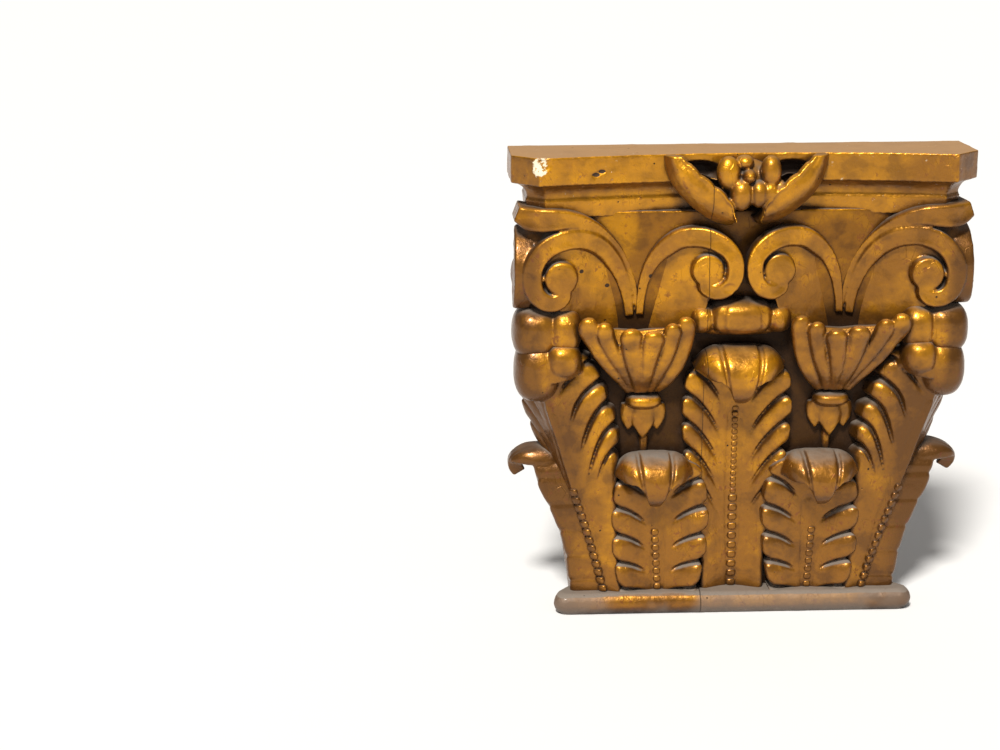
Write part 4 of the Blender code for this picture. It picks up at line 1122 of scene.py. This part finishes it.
def materials():
    """The gilding in its variants, made once."""
    worm = (0.0026, 0.006, 0.0022)
    wanted = {
        "gilt_carving": dict(bright=0.80, dusty=0.25, seams=((-0.028, 0.0004),),
                             shade_and_marks=(((-0.073, -0.021, 0.289), worm),
                                     ((-0.130, -0.029, 0.2954), worm),
                                     ((-0.1085, -0.018, 0.2815), worm))),
        "gilt_dusty": dict(bright=0.35, dusty=0.75),
        "gilt_beads": dict(bright=0.55, dusty=0.25, crevice=0.45, dark_and_shade=0.1),
        # The bell: painted shade below its scroll feet and a painted highlight high on its left.
        "gilt_ground": dict(bright=0.30, dusty=0.30, dark_and_shade=0.35, low_shade=0.85,
                            glints=(((-0.103, -0.020, 0.325), (0.026, 0.03, 0.028)),)),
        "gilt_moulding": dict(bright=1.00, dusty=0.12, top=True,
                              chips=(((-0.1655, -0.0480, 0.3830), (0.009, 0.010, 0.010)),),
                              # A nick, and painted shade in the hollows beside the flower.
                              shade_and_marks=(((-0.1200, -0.036, 0.3752), (0.0042, 0.02, 0.0022)),
                                      ((-0.1155, -0.036, 0.3776), (0.0040, 0.02, 0.0020)),
                                      ((0.037, -0.030, 0.3745), (0.020, 0.02, 0.010)),
                                      ((-0.037, -0.030, 0.3745), (0.020, 0.02, 0.010)))),
        "gilt_base": dict(bright=0.45, dusty=0.85, veil=1.1, dark_and_shade=0.15,
                          seams=((-0.028, 0.0006),)),
    }
    for name, spec in wanted.items():
        if name not in bpy.data.materials:
            gilding(name, **spec)
    return {name: bpy.data.materials[name] for name in wanted}


def bead_tree():
    """Geometry Nodes: a row of rounded beads along a line."""
    tree = bpy.data.node_groups.new("bead_row", "GeometryNodeTree")

    def add(kind, inputs=None, **settings):
        made = tree.nodes.new(kind)
        for key, value in settings.items():
            setattr(made, key, value)
        for key, value in (inputs or {}).items():
            if isinstance(value, bpy.types.NodeSocket):
                tree.links.new(value, made.inputs[key])
            else:
                made.inputs[key].default_value = value
        return made.outputs

    for label, kind in (("Line", "Geometry"), ("Pitch", "Float"), ("Width", "Float"),
                        ("Relief", "Float"), ("Outward", "Vector"), ("Material", "Material")):
        tree.interface.new_socket(label, in_out="INPUT", socket_type="NodeSocket" + kind)
    tree.interface.new_socket("Beads", in_out="OUTPUT", socket_type="NodeSocketGeometry")
    given = add("NodeGroupInput")
    curve = add("GeometryNodeMeshToCurve", {0: given["Line"]})
    points = add("GeometryNodeCurveToPoints", {"Curve": curve[0], "Length": given["Pitch"]},
                 mode="LENGTH")
    block = add("GeometryNodeMeshCube")
    ball = add("GeometryNodeSubdivisionSurface", {0: block[0], "Level": 3, "Edge Crease": 0.2})
    along = add("ShaderNodeMath", {0: given["Pitch"], 1: 0.98}, operation="MULTIPLY")
    size = add("ShaderNodeCombineXYZ", {0: given["Relief"], 1: given["Width"], 2: along[0]})
    aim = add("FunctionNodeAlignRotationToVector", {"Vector": points["Tangent"]}, axis="Z")
    twist = add("FunctionNodeAlignRotationToVector",
                {"Rotation": aim[0], "Vector": given["Outward"]}, axis="X", pivot_axis="Z")
    copies = add("GeometryNodeInstanceOnPoints",
                 {"Points": points["Points"], "Instance": ball[0], "Rotation": twist[0],
                  "Scale": size[0]})
    real = add("GeometryNodeRealizeInstances", {0: copies[0]})
    shade = add("GeometryNodeSetShadeSmooth", {"Geometry": real[0]})
    paint = add("GeometryNodeSetMaterial", {"Geometry": shade[0], "Material": given["Material"]})
    add("NodeGroupOutput", {0: paint[0]})
    return tree


def bead_row(name, points, outward_way, pitch_share, width_share):
    """Beads along a midrib, given by points of the drawing."""
    pitch, width = sizes().bead_pitch * pitch_share, sizes().bead_width * width_share
    tree = bpy.data.node_groups.get("bead_row") or bead_tree()
    laid = lay_on_block(points)
    mesh = bpy.data.meshes.new(name)
    mesh.from_pydata([tuple(p) for p in laid], [(i, i + 1) for i in range(len(laid) - 1)], [])
    obj = bpy.data.objects.new(name, mesh)
    bpy.context.scene.collection.objects.link(obj)
    made = obj.modifiers.new("Beads", "NODES")
    made.node_group = tree
    values = {"Pitch": pitch, "Width": width, "Relief": width * 0.6,
              "Outward": outward_way, "Material": materials()["gilt_beads"]}
    for item in tree.interface.items_tree:
        if item.in_out == "INPUT" and item.name in values:
            made[item.identifier] = values[item.name]
    plain(obj)
    settle(obj, "gilt_beads")


class Build(bpy.types.Operator):
    """Shared by the operators of the pieces."""
    bl_options = {"REGISTER", "UNDO"}

    def execute(self, context):
        self.make()
        return {"FINISHED"}


class CAPITAL_OT_core(Build):
    """Bell that the leaves lie on"""
    bl_idname = "capital.core"
    bl_label = "Bell"

    def make(self):
        settle(carve("bell", [bell()], 1.6, 0.3), "gilt_ground")


class CAPITAL_OT_abacus(Build):
    """Moulded abacus with its chipped corner"""
    bl_idname = "capital.abacus"
    bl_label = "Abacus"

    def make(self):
        s = sizes()
        left, lip = -s.abacus_width / 2, wall() - s.abacus_depth
        front = lip + s.hollow
        chip = ((left + 0.002, lip + 0.001, s.height - 0.005), (0.009, 0.006, 0.008), 0.0016)
        nick = [((across, front - 0.012, s.height - down), (0.0045, 0.012, tall), 0.0013)
                for across, down, tall in ((-0.120, 0.0148, 0.0022), (-0.1155, 0.0124, 0.002))]
        hollows = [((side * 0.037, front, s.height - 0.0155), (0.021, 0.02, 0.0105), 0.009)
                   for side, _ in SIDES]
        settle(carve("abacus", [abacus()], 1.15, 0.35, soften=2, dents=[chip] + nick + hollows),
               "gilt_moulding")


class CAPITAL_OT_base(Build):
    """Rounded base slab"""
    bl_idname = "capital.base"
    bl_label = "Base"

    def make(self):
        settle(carve("base", [base()], 1.15, 0.4, soften=2), "gilt_base")


class CAPITAL_OT_leaves(Build):
    """Acanthus leaves with their rolled heads"""
    bl_idname = "capital.leaves"
    bl_label = "Leaves"

    def make(self):
        settle(carve("centre_leaf", [leaf(CENTRE_LEAF, upright(0.0)),
                                     curl(CENTRE_CURL, ahead(0.0))]))
        for side, tag in SIDES:
            settle(carve("small_leaf_" + tag,
                         [leaf(SMALL_LEAF, upright(SMALL_ACROSS, side)),
                          curl(SMALL_CURL, ahead(SMALL_HEAD_ACROSS, side))]), "gilt_dusty")
            settle(carve("corner_leaf_" + tag,
                         [leaf(CORNER_LEAF, cornerwise(side)),
                          curl(CORNER_CURL, diagonal(side, (148.0, 45.0), 42.0))]
                         + [lump(row, side) for row in CORNER_HEAD]))
            settle(carve("side_leaf_" + tag,
                         [leaf(SIDE_LEAF, sidelong(side)),
                          curl(SIDE_CURL, outward(side))]))


class CAPITAL_OT_scrolls(Build):
    """Corner scrolls, inner scrolls and the tongues over them"""
    bl_idname = "capital.scrolls"
    bl_label = "Scrolls"

    def make(self):
        for side, tag in SIDES:
            shells = [lump(CORNER_BACKING, side)]
            for place in (flat(side), turned(side)):
                shells += scroll(CORNER_BAND, CORNER_EYE, volute_face, place, 30.0)
            shells.append(band(TONGUE_BAND, tongue_face, flat(side), 0.0, 34.0))
            settle(carve("corner_scroll_" + tag, shells))
            shells = scroll(HELIX_BAND, HELIX_EYE, helix_face, flat(side), 34.0)
            settle(carve("inner_scroll_" + tag, shells,
                         dents=HELIX_KNOCKS if tag == "left" else ()))


class CAPITAL_OT_cups(Build):
    """Cups that the scrolls spring from, with their rings, drops and sepals"""
    bl_idname = "capital.cups"
    bl_label = "Cups"

    def make(self):
        settle(carve("middle_band", middle_band()))
        for side, tag in SIDES:
            shells = [calyx(side)] + [finger(rows, side) for rows in CUP_FINGERS]
            settle(carve("cup_" + tag, shells, 0.9))
            settle(carve("sepal_" + tag, [lump(row, side) for row in SEPALS]))
            settle(carve("ring_" + tag,
                         [lump(CUP_RING, side)] + [drop_leaf(side, *row) for row in DROPS]))


class CAPITAL_OT_flower(Build):
    """Flower in its winged cup, in the middle of the abacus"""
    bl_idname = "capital.flower"
    bl_label = "Flower"

    def make(self):
        shells = [wing(side) for side, _ in SIDES] + [lump(row) for row in FLOWER_HEART]
        shells += [boss((a, z, d), (ra * PETAL_SPREAD[0], rz * PETAL_SPREAD[1], rd))
                   for a, z, d, ra, rz, rd in PETALS]
        settle(carve("flower", shells, 0.9))


class CAPITAL_OT_midribs(Build):
    """Rows of beads along the midribs"""
    bl_idname = "capital.midribs"
    bl_label = "Midrib beads"

    def make(self):
        ahead_way = (0.0, -1.0, 0.0)
        for tag, low, high, grow in (("low", 20.0, 92.0, 1.25), ("high", 93.0, 168.0, 0.85)):
            z = np.linspace(low, high, 60)
            row = upright(0.0)(0.0 * z, z, 0.0 * z + CENTRE_LEAF["valley"])
            bead_row("beads_centre_" + tag, row, ahead_way, grow, grow)
        for side, tag in SIDES:
            z = np.linspace(20.0, 66.0, 40)
            row = upright(SMALL_ACROSS, side)((z - 19.0) * 0.06, z, 0.0 * z + SMALL_LEAF["valley"])
            bead_row("beads_small_" + tag, row, ahead_way, 1.1, 1.0)
            z = np.linspace(20.0, 104.0, 70)
            row = cornerwise(side)(0.0 * z, z, 0.0 * z + 3.2)
            bead_row("beads_corner_" + tag, row, (side * 0.6, -0.8, 0.0), 1.25, 1.25)


class CAPITAL_OT_stage(Build):
    """Floor, lights and camera"""
    bl_idname = "capital.stage"
    bl_label = "Stage"

    def make(self):
        scene = bpy.context.scene
        mesh = bpy.data.meshes.new("floor")
        bm = bmesh.new()
        bmesh.ops.create_grid(bm, x_segments=2, y_segments=2, size=20.0)
        bm.to_mesh(mesh)
        bm.free()
        floor = bpy.data.objects.new("floor", mesh)
        scene.collection.objects.link(floor)
        paper = Finish("floor_paper")
        paper.set("Base Color", tuple(colours().floor))
        paper.set("Roughness", 0.9)
        mesh.materials.append(paper.material)
        world = scene.world or bpy.data.worlds.new("studio")
        scene.world = world
        world.use_nodes = True
        sky = world.node_tree.nodes["Background"]
        sky.inputs["Color"].default_value = SKY["color"]
        sky.inputs["Strength"].default_value = SKY["strength"]
        scene.view_settings.view_transform = "Standard"
        key = bpy.data.lights.new("key", "SUN")
        key.energy = SUN["energy"]
        key.angle = math.radians(SUN["angle"])
        key.color = SUN["color"]
        lamp = bpy.data.objects.new("key", key)
        scene.collection.objects.link(lamp)
        lamp.rotation_euler = Vector(SUN["way"]).to_track_quat("-Z", "Y").to_euler()
        self.camera(scene)

    def camera(self, scene):
        """Camera at the photograph's height and angle, built from its three directions."""
        data = bpy.data.cameras.new("camera")
        data.sensor_width = 36.0
        data.lens = CAMERA["lens"]
        data.shift_x, data.shift_y = CAMERA["shift"]
        camera = bpy.data.objects.new("camera", data)
        scene.collection.objects.link(camera)
        yaw, pitch, roll = (math.radians(CAMERA[key]) for key in ("yaw", "pitch", "roll"))
        forward = Vector((math.sin(yaw) * math.cos(pitch), math.cos(yaw) * math.cos(pitch),
                          -math.sin(pitch)))
        level = Vector((math.cos(yaw), -math.sin(yaw), 0.0))
        upward = level.cross(forward)
        right = math.cos(roll) * level - math.sin(roll) * upward
        above = math.sin(roll) * level + math.cos(roll) * upward
        camera.matrix_world = Matrix((right, above, -forward)).transposed().to_4x4()
        camera.location = CAMERA["place"]
        scene.camera = camera


class CAPITAL_PT_panel(bpy.types.Panel):
    """Lists the sizes, the colours and the pieces"""
    bl_idname = "CAPITAL_PT_panel"
    bl_label = "Pilaster capital"
    bl_space_type = "VIEW_3D"
    bl_region_type = "UI"
    bl_category = "Capital"

    def draw(self, context):
        for group in (context.scene.capital_sizes, context.scene.capital_colours):
            box = self.layout.box()
            for key in group.bl_rna.properties.keys():
                if key not in ("rna_type", "name"):
                    box.prop(group, key)
        for operator in OPERATORS:
            self.layout.operator(operator.bl_idname)


OPERATORS = (CAPITAL_OT_core, CAPITAL_OT_abacus, CAPITAL_OT_base, CAPITAL_OT_leaves,
             CAPITAL_OT_scrolls, CAPITAL_OT_cups, CAPITAL_OT_flower, CAPITAL_OT_midribs,
             CAPITAL_OT_stage)
CLASSES = (CapitalSizes, CapitalColours) + OPERATORS + (CAPITAL_PT_panel,)


def register():
    for kind in CLASSES:
        bpy.utils.register_class(kind)
    bpy.types.Scene.capital_sizes = PointerProperty(type=CapitalSizes)
    bpy.types.Scene.capital_colours = PointerProperty(type=CapitalColours)


def unregister():
    del bpy.types.Scene.capital_sizes
    del bpy.types.Scene.capital_colours
    for kind in reversed(CLASSES):
        bpy.utils.unregister_class(kind)


def main():
    register()
    for operator in OPERATORS:
        group, name = operator.bl_idname.split(".")
        getattr(getattr(bpy.ops, group), name)()


if __name__ == "__main__":
    main()
